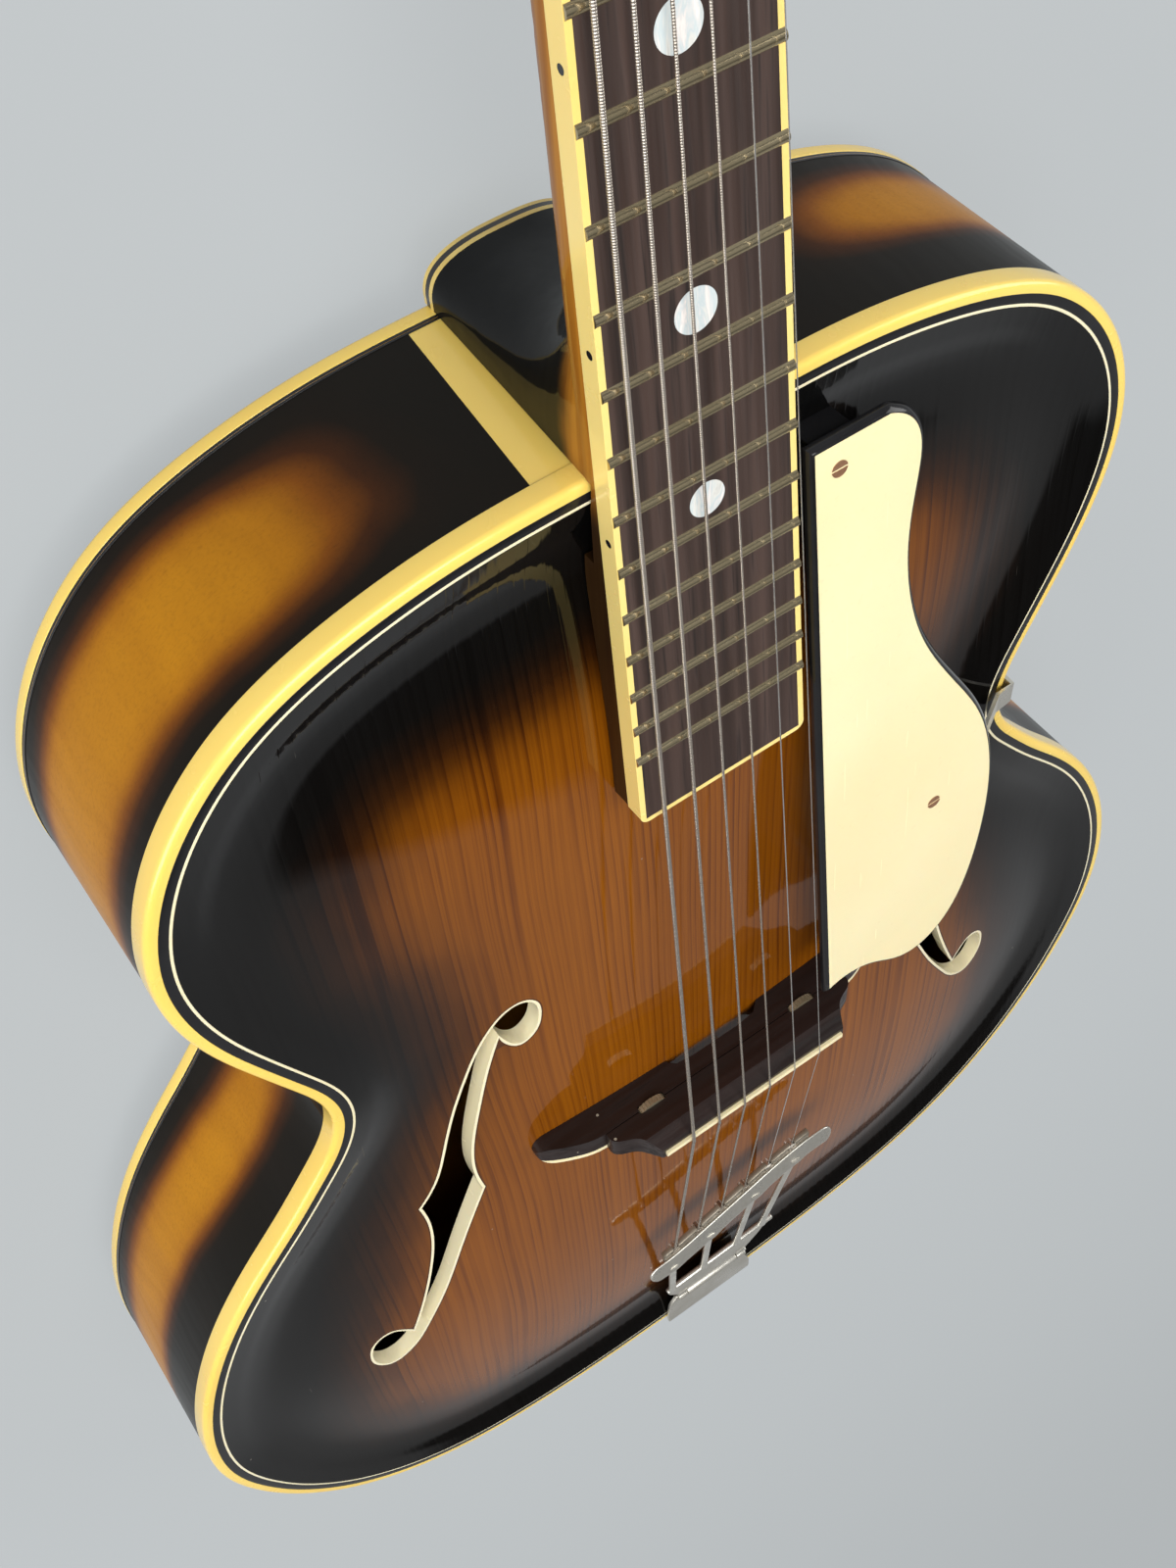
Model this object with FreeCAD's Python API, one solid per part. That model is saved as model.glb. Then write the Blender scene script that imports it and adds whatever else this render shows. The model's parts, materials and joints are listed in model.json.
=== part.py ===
import FreeCAD, Part
import math
import os

V = FreeCAD.Vector
Rotation = FreeCAD.Rotation
Placement = FreeCAD.Placement
os.makedirs("parts", exist_ok=True)

# ---------------------------------------------------------------- dimensions (mm, degrees)
scale_len = 640.0          # nut to saddle, before compensation
fret_count = 20
join_fret = 14             # fret over the edge of the body
neck_pitch = 3.916         # the neck leans back from the plane of the top's edge
fret_rise_at_join = 10.6   # fret crowns above the top's edge at the body joint
board_w_nut = 40.0         # fingerboard width at the nut
board_w_end = 55.6         # and at its end over the body
board_len = 464.5
board_t = 6.0
fret_h = 1.0
head_angle = 10.0
head_len = 151.0
head_t = 14.0
veneer_t = 1.5
rim_depth = 74.0           # top edge to back edge
rib_t = 2.5
top_t = 4.0
back_t = 3.6
binding_w = 3.5            # cream edge, seen from the front
binding_h = 7.0            # and from the side
black_line = 2.8
cream_line = 0.9
line_depth = 2.0
back_binding_h = 5.0
back_line_h = 0.9
bridge_x = 3.4             # bridge stands a little to the treble side
bridge_y = -286.5
saddle_rise = 2.5          # string bottoms over the fret plane at the saddle
tail_x = 4.5               # tailpiece hanger, a little to the treble side
bar_z = 20.6               # string bar of the tailpiece over the rim plane
# middle line of the string bar, seen from the front: a shallow S
bar_line = [(-40.0, -428.9), (-28.0, -428.6), (-18.0, -426.1), (-8.0, -422.1), (7.0, -416.1), (22.0, -409.9), (33.0, -406.1),
            (43.0, -404.1), (56.0, -404.6)]
comb_mid = 5.4             # middle of the six string slots
low_y, low_z = -510.0, 4.0 # lower cross bar
hinge_y, hinge_z = -527.6, 3.4
roll_r = 2.6
pin_r = 1.1
struts = [(-17.6, -27.3), (0.2, -8.2), (19.0, 14.8), (33.7, 35.4)]   # x at the lower bar, x at the string bar
bridge_seam = 15.6         # joint between base and saddle above the rim plane
stud_r = 2.0
wheel_r = 7.0
wheel_t = 2.4
string_r = [0.15, 0.20, 0.31, 0.41, 0.53, 0.66]   # first to sixth
nut_pitch = 6.6
saddle_pitch = 11.2
comb_pitch = 11.95
glue = 0.03                # gap of a glued joint
move_gap = 0.3             # gap between pieces that move past each other
worm_teeth = 14
gear_pr = 6.3
worm_pr = 3.0
thread_pitch = 2 * math.pi * gear_pr / worm_teeth
post_r = 3.0
end_pin_r = 4.5

# right half of the body's outer outline, from the neck end round to the tail
half = [(0.0, 6.2), (14.0, 6.2), (28.0, 6.2), (43.0, 6.0), (62.5, 4.6), (83.0, 1.0), (102.9, -5.0),
        (121.0, -14.3), (136.6, -28.1), (148.7, -45.2), (156.7, -64.5), (160.1, -85.0), (158.7, -105.9),
        (153.6, -126.1), (146.2, -145.7), (138.4, -164.5), (132.4, -181.5), (131.3, -194.5), (135.0, -208.0),
        (144.8, -223.2), (157.4, -239.7), (170.8, -255.8), (183.4, -272.5), (194.3, -290.4), (203.2, -309.3),
        (210.2, -329.0), (215.1, -349.4), (217.7, -370.1), (217.8, -391.1), (215.0, -411.8), (209.9, -432.0),
        (203.0, -452.0), (194.0, -471.3), (183.2, -489.4), (170.3, -505.8), (155.6, -520.0), (139.6, -531.4),
        (122.5, -540.2), (103.4, -546.8), (83.2, -551.4), (62.6, -554.5), (41.8, -556.4), (20.9, -557.3),
        (0.0, -557.6)]

# height of the top over its edge, by distance from the edge: flat rim, hollow, crown
top_profile = [(0, 0), (8.5, 0), (13, -0.9), (20, -2.8), (28, -3.9), (37, -3.7), (50, -2.2), (70, 0.4),
               (92, 2.7), (118, 4.6), (150, 5.8), (190, 6.2), (260, 6.2)]
back_profile = [(0, 0), (8.5, 0), (16, 0.5), (26, 0.2), (40, -2.0), (62, -6.0), (88, -10.0), (118, -13.2),
                (150, -14.7), (190, -15.2), (260, -15.2)]

# bass f-hole outline (outer edge of its lining): four smooth runs between the cusps and nicks
f_runs = [[(-73.6, -207.2), (-71.4, -213.6), (-67.0, -217.6), (-62.0, -214.8), (-58.6, -205.6), (-59.4, -196.8),
           (-63.6, -192.6), (-69.4, -193.2), (-75.2, -198.2), (-81.4, -207.6), (-87.9, -221.4), (-95.0, -238.6),
           (-101.9, -259.0), (-107.6, -273.6), (-115.4, -284.5)],
          [(-115.4, -284.5), (-114.3, -296.0), (-115.0, -308.0), (-118.9, -327.2), (-125.6, -350.3), (-132.8, -370.6)],
          [(-132.8, -370.6), (-136.4, -365.4), (-141.6, -361.6), (-147.6, -364.4), (-151.2, -374.0), (-150.0, -385.4),
           (-144.2, -391.6), (-136.0, -387.6), (-127.6, -375.2), (-116.3, -352.3), (-106.1, -327.0), (-98.4, -309.0),
           (-91.2, -293.4)],
          [(-91.2, -293.4), (-92.5, -279.0), (-90.9, -264.5), (-85.5, -244.0), (-79.6, -224.3), (-73.6, -207.2)]]

ca, sa = math.cos(math.radians(neck_pitch)), math.sin(math.radians(neck_pitch))


def fret_y(n):
    return -scale_len * (1 - 2 ** (-n / 12.0))


y_join = fret_y(join_fret)
z_join = -fret_rise_at_join
# neck frame (origin on the fret plane at the nut, y towards the head) into the body frame
NECK = Placement(V(0, -(ca * y_join + sa * z_join), sa * y_join - ca * z_join), Rotation(V(1, 0, 0), -neck_pitch))
# head frame: face of the head, starting behind the nut
HEAD = NECK.multiply(Placement(V(0, 5.0, -fret_h - board_t), Rotation(V(1, 0, 0), -head_angle)))


def placed(shape, pl):
    s = shape.copy()
    s.Placement = pl.multiply(s.Placement)
    return s


def box(x0, x1, y0, y1, z0, z1):
    return Part.makeBox(x1 - x0, y1 - y0, z1 - z0, V(x0, y0, z0))


def cyl(r, p, q):
    p, q = V(*p), V(*q)
    d = q - p
    return Part.makeCylinder(r, d.Length, p, d)


def table(profile, d):
    """Smooth curve through the (distance, height) stations."""
    if d <= profile[0][0]:
        return profile[0][1]
    n = len(profile)
    for i in range(n - 1):
        x0, y0 = profile[i]
        x1, y1 = profile[i + 1]
        if d <= x1:
            def slope(k):
                if k <= 0 or k >= n - 1:
                    return 0.0
                return (profile[k + 1][1] - profile[k - 1][1]) / (profile[k + 1][0] - profile[k - 1][0])
            h = x1 - x0
            t = (d - x0) / h
            return ((2 * t ** 3 - 3 * t ** 2 + 1) * y0 + (t ** 3 - 2 * t ** 2 + t) * h * slope(i)
                    + (-2 * t ** 3 + 3 * t ** 2) * y1 + (t ** 3 - t ** 2) * h * slope(i + 1))
    return profile[-1][1]


def closed_curve(pts, z=0.0):
    c = Part.BSplineCurve()
    c.interpolate(Points=[V(x, y, z) for x, y in pts], PeriodicFlag=True)
    return c


full = half + [(-x, y) for x, y in reversed(half[1:-1])]
outer_curve = closed_curve(full)
dense = [(p.x, p.y) for p in outer_curve.toShape().discretize(Number=865)][:-1]
n_dense = len(dense)
normals = []
for i in range(n_dense):
    ax, ay = dense[i - 1]
    bx, by = dense[(i + 1) % n_dense]
    tx, ty = bx - ax, by - ay
    l = math.hypot(tx, ty)
    normals.append((ty / l, -tx / l))
area = sum(dense[i - 1][0] * dense[i][1] - dense[i][0] * dense[i - 1][1] for i in range(n_dense))
if area < 0:
    normals = [(-a, -b) for a, b in normals]   # normals point out of the body


def inset_points(d, step=6):
    return [(dense[i][0] - d * normals[i][0], dense[i][1] - d * normals[i][1]) for i in range(0, n_dense, step)]


def outline_prism(d, z0, z1):
    w = Part.Wire([closed_curve(inset_points(d), z0).toShape()])
    return Part.Face(w).extrude(V(0, 0, z1 - z0))


def ring(d_out, d_in, z0, z1):
    return outline_prism(d_out, z0, z1).cut(outline_prism(d_in, z0 - 1, z1 + 1))


def edge_distance(x, y):
    """Distance inside the outline, 0 outside it."""
    best = 1e9
    inside = False
    for i in range(n_dense):
        x0, y0 = dense[i - 1]
        x1, y1 = dense[i]
        dx, dy = x1 - x0, y1 - y0
        t = max(0.0, min(1.0, ((x - x0) * dx + (y - y0) * dy) / (dx * dx + dy * dy)))
        q = (x - x0 - t * dx) ** 2 + (y - y0 - t * dy) ** 2
        if q < best:
            best = q
        if (y0 > y) != (y1 > y) and x < x0 + (y - y0) * dx / dy:
            inside = not inside
    return math.sqrt(best) if inside else 0.0


nx, ny = 43, 53
gx = [-231.0 + 462.0 * i / (nx - 1) for i in range(nx)]
gy = [-571.0 + 592.0 * j / (ny - 1) for j in range(ny)]
dist = [[0.0] * ny for _ in range(nx)]
for i in range(nx // 2 + 1):
    for j in range(ny):
        dist[i][j] = edge_distance(gx[i], gy[j])
        dist[nx - 1 - i][j] = dist[i][j]


def arched(profile, z_rim):
    h = [[table(profile, dist[i][j]) for j in range(ny)] for i in range(nx)]
    for _ in range(4):
        g = [row[:] for row in h]
        for i in range(1, nx - 1):
            for j in range(1, ny - 1):
                if dist[i][j] > 48:
                    g[i][j] = (4 * h[i][j] + 2 * (h[i - 1][j] + h[i + 1][j] + h[i][j - 1] + h[i][j + 1])
                               + h[i - 1][j - 1] + h[i + 1][j - 1] + h[i - 1][j + 1] + h[i + 1][j + 1]) / 16.0
        h = g
    s = Part.BSplineSurface()
    s.interpolate([[V(gx[i], gy[j], z_rim + h[i][j]) for j in range(ny)] for i in range(nx)])
    return Part.Face(s)


top_face = arched(top_profile, 0.0)
back_face = arched(back_profile, -rim_depth)


def slab(face, z_from, z_to):
    f = face.copy()
    f.translate(V(0, 0, z_from))
    return f.extrude(V(0, 0, z_to - z_from))


top_slab = slab(top_face, 0, -top_t)
back_slab = slab(back_face, 0, back_t)
under_top = slab(top_face, -top_t - glue, -90)      # room under the top
over_back = slab(back_face, back_t + glue, 110)     # room over the back
nodes = {}

# ---------------------------------------------------------------- f-holes


def mirror_pts(pts):
    return [(-x, y) for x, y in pts]


def run_wire(runs, z):
    edges = []
    for r in runs:
        c = Part.BSplineCurve()
        c.interpolate([V(x, y, z) for x, y in r])
        edges.append(c.toShape())
    return Part.Wire(edges)


def inner_runs(runs, d):
    """The same outline moved inwards by d."""
    samp = []
    for r in runs:
        c = Part.BSplineCurve()
        c.interpolate([V(x, y, 0) for x, y in r])
        samp.append([(p.x, p.y) for p in c.toShape().discretize(Number=2 * len(r) + 5)])
    loop = [p for s in samp for p in s[:-1]]
    a2 = sum(loop[i - 1][0] * loop[i][1] - loop[i][0] * loop[i - 1][1] for i in range(len(loop)))
    sg = 1.0 if a2 > 0 else -1.0
    out = []
    k = len(loop)
    moved = []
    for i in range(k):
        ax, ay = loop[i - 1]
        bx, by = loop[(i + 1) % k]
        px, py = loop[i]
        u1 = ((px - ax), (py - ay))
        u2 = ((bx - px), (by - py))
        l1, l2 = math.hypot(*u1), math.hypot(*u2)
        n1 = (-u1[1] / l1 * sg, u1[0] / l1 * sg)
        n2 = (-u2[1] / l2 * sg, u2[0] / l2 * sg)
        m = (n1[0] + n2[0], n1[1] + n2[1])
        lm = math.hypot(*m)
        m = (m[0] / lm, m[1] / lm)
        f = min(1.6, 1.0 / max(0.3, m[0] * n1[0] + m[1] * n1[1]))
        moved.append((px + d * f * m[0], py + d * f * m[1]))
    at = 0
    for s in samp:
        seg = [moved[(at + j) % k] for j in range(len(s))]
        out.append(seg)
        at += len(s) - 1
    return out


f_in = inner_runs(f_runs, 1.3)
fhole_solids = []
lining_solids = []
lining_slab = slab(top_face, -0.02, -6.0)
for side in (1, -1):
    outer_r = f_runs if side == 1 else [mirror_pts(r) for r in f_runs]
    inner_r = f_in if side == 1 else [mirror_pts(r) for r in f_in]
    fo = Part.Face(run_wire(outer_r, -14)).extrude(V(0, 0, 28))
    fi = Part.Face(run_wire(inner_r, -15)).extrude(V(0, 0, 30))
    fhole_solids.append(fo)
    lining_solids.append(fo.cut(fi).common(lining_slab))
nodes["fhole_linings"] = Part.makeCompound([s for l in lining_solids for s in l.Solids])

# ---------------------------------------------------------------- plates, ribs, edges
edge_in = binding_w + glue
line_in = binding_w + black_line + cream_line + 2 * glue
top = top_slab.common(outline_prism(edge_in, -30, 30))
top = top.cut(ring(edge_in - 1, line_in + glue, -line_depth, 10))
for fo in fhole_solids:
    top = top.cut(fo)
nodes["soundboard"] = top
back = back_slab.common(outline_prism(edge_in, -rim_depth - 40, -rim_depth + 40))
nodes["back_plate"] = back
nodes["front_binding"] = ring(0, binding_w, -binding_h, 0)
nodes["front_purfling_black"] = ring(binding_w + glue, binding_w + black_line, -line_depth + glue, 0)
nodes["front_purfling_cream"] = ring(binding_w + black_line + glue, binding_w + black_line + cream_line, -line_depth + glue, 0)
zb0 = -rim_depth
nodes["back_binding"] = ring(0, binding_w, zb0, zb0 + back_binding_h)
z_line = zb0 + back_binding_h + glue
b1 = ring(0.1, 0.1 + rib_t, z_line, z_line + back_line_h)
b2 = ring(0.1, 0.1 + rib_t, z_line + back_line_h + glue, z_line + 2 * back_line_h)
nodes["back_purfling"] = Part.makeCompound([b1, b2])

rib_z0 = z_line + 2 * back_line_h + glue
rib_z1 = -binding_h - glue
rib_ring = ring(0.3, 0.3 + rib_t, rib_z0, rib_z1)


def strip_prism(x_front, x_back, x_in, sign):
    pts = [V(sign * x_in, -5, rib_z0 - 1), V(sign * x_back, -5, rib_z0 - 1),
           V(sign * x_front, -5, rib_z1 + 1), V(sign * x_in, -5, rib_z1 + 1)]
    return Part.Face(Part.makePolygon(pts + pts[:1])).extrude(V(0, 20, 0))


tenon_half = 11.5
strips = []
for sign in (-1, 1):
    strips.append(rib_ring.common(strip_prism(36.4, 31.2, tenon_half + 0.6, sign)))
nodes["shoulder_strips"] = Part.makeCompound([s for g in strips for s in g.Solids])
for name, sign in (("rib_bass", -1), ("rib_treble", 1)):
    keep = box(0.02, 240, -580, 30, -90, 10) if sign == 1 else box(-240, -0.02, -580, 30, -90, 10)
    nodes[name] = rib_ring.common(keep).cut(strip_prism(36.4 + glue, 31.2 + glue, -2, sign))

# ---------------------------------------------------------------- blocks, linings, tone bars
inside = outline_prism(0.3 + rib_t + glue, -rim_depth + 1, -1)
neck_block = box(-40, 40, -44, 20, -rim_depth, 0).common(inside).common(under_top).common(over_back)
tail_block = box(-34, 34, -580, -526, -rim_depth, 0).common(inside).common(under_top).common(over_back)
bind_cut = ring(-2, binding_w + glue, -binding_h - glue, 5).fuse(
    ring(-2, binding_w + glue, zb0 - 5, zb0 + back_binding_h + glue))
neck_block = neck_block.cut(bind_cut)
tail_block = tail_block.cut(bind_cut)
lin_ring = outline_prism(0.3 + rib_t + glue, -rim_depth + 1, -1).cut(outline_prism(9.5, -rim_depth, 0))
lin_front = lin_ring.common(under_top).common(box(-240, 240, -580, 30, -16, 0))
lin_back = lin_ring.common(over_back).common(box(-240, 240, -580, 30, -rim_depth, -rim_depth + 16))
lin_cut = box(-40 - glue, 40 + glue, -44, 20, -90, 5).fuse(box(-34 - glue, 34 + glue, -580, -526, -90, 5))
lin = [lin_front.cut(lin_cut).cut(bind_cut), lin_back.cut(lin_cut).cut(bind_cut)]
nodes["linings"] = Part.makeCompound([s for l in lin for s in l.Solids])
bars = []
for sign in (-1, 1):
    pts = [V(sign * 24, -60, -60), V(sign * 31, -60, -60), V(sign * 50, -470, -60), V(sign * 43, -470, -60)]
    bar = Part.Face(Part.makePolygon(pts + pts[:1])).extrude(V(0, 0, 60))
    bars.append(bar.common(slab(top_face, -top_t - glue, -top_t - 12)))
nodes["tone_bars"] = Part.makeCompound([s for b in bars for s in b.Solids])

# ---------------------------------------------------------------- neck


def board_half(y):
    return 0.5 * (board_w_nut + (board_w_end - board_w_nut) * (-y / board_len))


wood_z = -fret_h - board_t


def neck_section(y, depth, w):
    c = Part.BSplineCurve()
    pts = [(w, wood_z), (0.975 * w, wood_z - 0.3 * depth), (0.83 * w, wood_z - 0.62 * depth),
           (0.5 * w, wood_z - 0.91 * depth), (0, wood_z - depth), (-0.5 * w, wood_z - 0.91 * depth),
           (-0.83 * w, wood_z - 0.62 * depth), (-0.975 * w, wood_z - 0.3 * depth), (-w, wood_z)]
    c.interpolate([V(x, y, z) for x, z in pts])
    return Part.Wire([c.toShape(), Part.LineSegment(V(-w, y, wood_z), V(w, y, wood_z)).toShape()])


y_body = y_join + 6.2 / ca         # edge of the body along the neck
secs = [neck_section(6.0, 14.0, board_w_nut / 2), neck_section(-120, 15.2, board_half(-120)),
        neck_section(-260, 17.0, board_half(-260)), neck_section(y_body + 0.1, 18.0, board_half(y_body))]
shaft = Part.makeLoft(secs, True, False)
shaft = placed(shaft, NECK)

hpts = [(20.0, -1.0), (21.0, 8.0), (25.5, 20.0), (31.5, 34.0), (35.6, 52.0), (36.8, 74.0), (36.2, 98.0),
        (34.0, 120.0), (30.0, 137.0), (22.0, 146.5), (11.0, 150.2), (0.0, 151.0)]


def head_outline(pts, z):
    a = Part.BSplineCurve()
    a.interpolate([V(x, y, z) for x, y in pts] + [V(-x, y, z) for x, y in reversed(pts[:-1])])
    return Part.Wire([a.toShape(), Part.LineSegment(V(-pts[0][0], pts[0][1], z), V(pts[0][0], pts[0][1], z)).toShape()])


head = Part.Face(head_outline(hpts, -head_t)).extrude(V(0, 0, head_t))
veneer_pts = [(19.9, 0.4)] + hpts[1:]
veneer = Part.Face(head_outline(veneer_pts, glue)).extrude(V(0, 0, veneer_t))


def heel_section(z, hw, y_side, y_tip, full=0.74, y0=6.2 + glue):
    """Plan section of the heel; a lower fullness number makes squarer corners."""
    c = Part.BSplineCurve()
    pts = []
    for k in range(0, 15):
        a = math.pi * k / 14.0
        ca, sa = math.cos(a), math.sin(a)
        pts.append(V(hw * math.copysign(abs(ca) ** full, ca), y_side + (y_tip - y_side) * abs(sa) ** full, z))
    pts[0], pts[-1] = V(hw, y_side, z), V(-hw, y_side, z)
    c.interpolate(pts)
    e = [Part.LineSegment(V(hw, y0, z), V(hw, y_side, z)).toShape(), c.toShape(),
         Part.LineSegment(V(-hw, y_side, z), V(-hw, y0, z)).toShape(),
         Part.LineSegment(V(-hw, y0, z), V(hw, y0, z)).toShape()]
    return Part.Wire(e)


cap_t = 4.2
heel_low = -rim_depth + cap_t
heel_secs = [heel_section(heel_low, 22.3, 8.2, 20.6), heel_section(-56, 22.9, 8.4, 22.0, 0.75), heel_section(-38, 23.7, 8.8, 27.0, 0.79),
             heel_section(-22, 24.4, 9.6, 37.0, 0.84), heel_section(-10, 25.0, 12.0, 55.0, 0.9), heel_section(-1.0, 25.5, 16.0, 78.0, 0.93)]
heel = Part.makeLoft(heel_secs, True, False)
cap = Part.Face(heel_section(-rim_depth, 22.3, 8.2, 20.6)).extrude(V(0, 0, cap_t - glue))
nodes["heel_cap"] = cap

tenon_pts = [V(-9, 6.4, -64), V(9, 6.4, -64), V(tenon_half, -14, -64), V(-tenon_half, -14, -64)]
tenon = Part.Face(Part.makePolygon(tenon_pts + tenon_pts[:1])).extrude(V(0, 0, 56))
mort_pts = [V(-9.4, 20, -64 - glue), V(9.4, 20, -64 - glue), V(9.4, 6.4, -64 - glue), V(tenon_half + 0.05, -14.1, -64 - glue),
            V(-tenon_half - 0.05, -14.1, -64 - glue), V(-9.4, 6.4, -64 - glue)]
mortise = Part.Face(Part.makePolygon(mort_pts + mort_pts[:1])).extrude(V(0, 0, 56 + 2 * glue))
nodes["neck_block"] = neck_block.cut(mortise)
nodes["tail_block"] = tail_block

# the neck's tongue under the fingerboard, just clear of the top
ext_y0, ext_y1 = -board_len + 2.6, y_body + 3.0
ext_pts = [V(board_half(ext_y0) - 0.2, ext_y0, wood_z), V(board_half(ext_y1) - 0.2, ext_y1, wood_z),
           V(-board_half(ext_y1) + 0.2, ext_y1, wood_z), V(-board_half(ext_y0) + 0.2, ext_y0, wood_z)]
ext = placed(Part.Face(Part.makePolygon(ext_pts + ext_pts[:1])).extrude(V(0, 0, -30)), NECK)
ext = ext.cut(slab(top_face, 0.6, -60)).cut(box(-60, 60, -20, 6.2 + glue, -60, 0.6))
front_guard = box(-60, 60, -40, 6.2 + glue, -90, 0.5)
neck = shaft.fuse(placed(head, HEAD)).fuse(heel)
neck = neck.cut(front_guard).fuse(ext).fuse(tenon)
neck = neck.cut(placed(box(-70, 70, -480, 5.0 + glue, wood_z, wood_z + 60), NECK))
neck = neck.cut(placed(box(-70, 70, 0.0, 200, 0.0, 40), HEAD))
neck = neck.removeSplitter()

# ---------------------------------------------------------------- tuners (head frame)
tun_y = [32.0, 72.0, 112.0]
tun_x = 20.0
plate_t = 1.2
plate_z = -head_t - plate_t
gear_w = 3.0
gear_z1 = plate_z - 2.4
gear_z0 = gear_z1 - gear_w
worm_z = 0.5 * (gear_z0 + gear_z1)
worm_dy = gear_pr + worm_pr
shaft_r = 2.0
post_top = 12.5


def gear_solid():
    edges = []
    pts = []
    for k in range(worm_teeth):
        a = -math.pi / 2 + (k + 0.5) * 2 * math.pi / worm_teeth
        for r, t in ((gear_pr - 0.95, -0.78), (gear_pr + 0.5, -0.40), (gear_pr + 0.5, 0.40), (gear_pr - 0.95, 0.78)):
            w = t / r
            pts.append(V(r * math.cos(a + w), r * math.sin(a + w), 0))
    return Part.Face(Part.makePolygon(pts + pts[:1])).extrude(V(0, 0, gear_w))


def worm_solid():
    turns = 4
    h = turns * thread_pitch
    helix = Part.makeHelix(thread_pitch, h, worm_pr)
    prof = [V(2.0, 0, -0.47), V(3.5, 0, -0.26), V(3.5, 0, 0.26), V(2.0, 0, 0.47)]
    wire = Part.makePolygon(prof + prof[:1])
    sweep = Part.Wire(helix).makePipeShell([wire], True, True)
    core = Part.makeCylinder(2.3, h + 1.2, V(0, 0, -0.6))
    s = core.fuse(sweep)
    s.translate(V(0, 0, -h / 2))
    # helix axis to +x, its zero angle to +y
    m = FreeCAD.Matrix(0, 0, 1, 0, 1, 0, 0, 0, 0, 1, 0, 0, 0, 0, 0, 1)
    return s.transformGeometry(m)


def button_solid():
    """Flattened oval grip, 17 long along x."""
    s = Part.makeSphere(1.0)
    m = FreeCAD.Matrix()
    m.scale(9.0, 7.0, 4.2)
    return s.transformGeometry(m)


worm0 = worm_solid()
gear0 = gear_solid()
button0 = button_solid()
head_cuts = []
bush = []
plates = {-1: None, 1: None}
tuner_screws = []
coil_r = string_r[:]
posts = {}
keys = {}
post_pos = {}
for sign in (-1, 1):
    pl = box(11, 29.5, 12, 124, plate_z, -head_t - glue)
    if sign == -1:
        pl = box(-29.5, -11, 12, 124, plate_z, -head_t - glue)
    for i, ty in enumerate(tun_y):
        cx = sign * tun_x
        wy = ty - worm_dy
        # fourth to sixth string on the bass side, first to third on the treble side
        num = (6 - i) if sign == -1 else (1 + i)
        post_pos[num] = (cx, ty)
        x_in, x_out = (sign * 12.2, sign * 27.6)
        for xt in (sign * 12.1, sign * 27.9):
            tab = box(min(xt - 1.0, xt + 1.0), max(xt - 1.0, xt + 1.0), wy - 3.4, wy + 2.9, gear_z0 - 2.0, plate_z + 0.01)
            pl = pl.fuse(tab)
        pl = pl.cut(cyl(shaft_r + 0.05, (sign * 8, wy, worm_z), (sign * 35, wy, worm_z)))
        pl = pl.cut(cyl(post_r + 0.05, (cx, ty, plate_z - 1), (cx, ty, 0)))
        head_cuts.append(cyl(5.0, (cx, ty, -8.0), (cx, ty, 5)))
        head_cuts.append(cyl(post_r + 0.4, (cx, ty, -30), (cx, ty, 5)))
        b = cyl(5.0 - glue, (cx, ty, -8.0 + glue), (cx, ty, veneer_t + 2 * glue)).fuse(
            cyl(6.2, (cx, ty, veneer_t + 2 * glue), (cx, ty, veneer_t + 1.2)))
        bush.append(b.cut(cyl(post_r + 0.05, (cx, ty, -12), (cx, ty, 6))))
        # post with gear, string hole and coil
        r_s = string_r[num - 1]
        p = cyl(post_r, (cx, ty, gear_z0 - 0.8), (cx, ty, post_top))
        waist = Part.makeTorus(post_r + 2.2, 2.6, V(cx, ty, 7.6), V(0, 0, 1))
        p = p.cut(waist)
        g = gear0.copy()
        g.translate(V(cx, ty, gear_z0))
        p = p.fuse(g)
        coil = None
        n_turn = 4 if num > 3 else 5
        rr = max(0.32, r_s)
        for k in range(n_turn):
            t = Part.makeTorus(post_r - 0.42 + rr, rr, V(cx, ty, 7.6 + (k - (n_turn - 1) / 2.0) * 2 * rr * 0.96), V(0, 0, 1))
            coil = t if coil is None else coil.fuse(t)
        core = cyl(post_r - 0.3, (cx, ty, 4), (cx, ty, 11))
        coil = coil.cut(p)
        posts[num] = Part.makeCompound([p] + coil.Solids)
        # key: shaft, worm, grip
        w = worm0.copy()
        w.translate(V(cx, wy, worm_z))
        k = w.fuse(cyl(shaft_r, (sign * 10.4, wy, worm_z), (sign * 44.5, wy, worm_z)))
        collar = cyl(2.9, (sign * 29.3, wy, worm_z), (sign * 31.0, wy, worm_z))
        k = k.fuse(collar)
        grip = button0.copy()
        grip.translate(V(sign * 51.5, wy, worm_z))
        stem = cyl(3.0, (sign * 40.0, wy, worm_z), (sign * 46.0, wy, worm_z))
        grip = grip.fuse(stem).cut(cyl(shaft_r + 0.01, (sign * 35, wy, worm_z), (sign * 44.52, wy, worm_z)))
        keys[num] = Part.makeCompound([k] + grip.Solids)
    for sy in (16.0, 52.0, 92.0, 121.0):
        for sx in (25.5,):
            c = (sign * sx, sy)
            pl = pl.cut(cyl(1.3, (c[0], c[1], plate_z - 1), (c[0], c[1], 0)))
            head_cuts.append(cyl(1.2, (c[0], c[1], -head_t - 1), (c[0], c[1], -head_t + 9)))
            sc = cyl(1.2 - glue, (c[0], c[1], -head_t + 8.5), (c[0], c[1], plate_z - glue)).fuse(
                cyl(2.2, (c[0], c[1], plate_z - 1.1), (c[0], c[1], plate_z - glue)))
            sc = sc.cut(box(c[0] - 3, c[0] + 3, c[1] - 0.25, c[1] + 0.25, plate_z - 2, plate_z - 0.7))
            tuner_screws.append(placed(sc, HEAD))
    plates[sign] = pl
for c in head_cuts:
    neck = neck.cut(placed(c, HEAD))
    veneer = veneer.cut(c)
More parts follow.
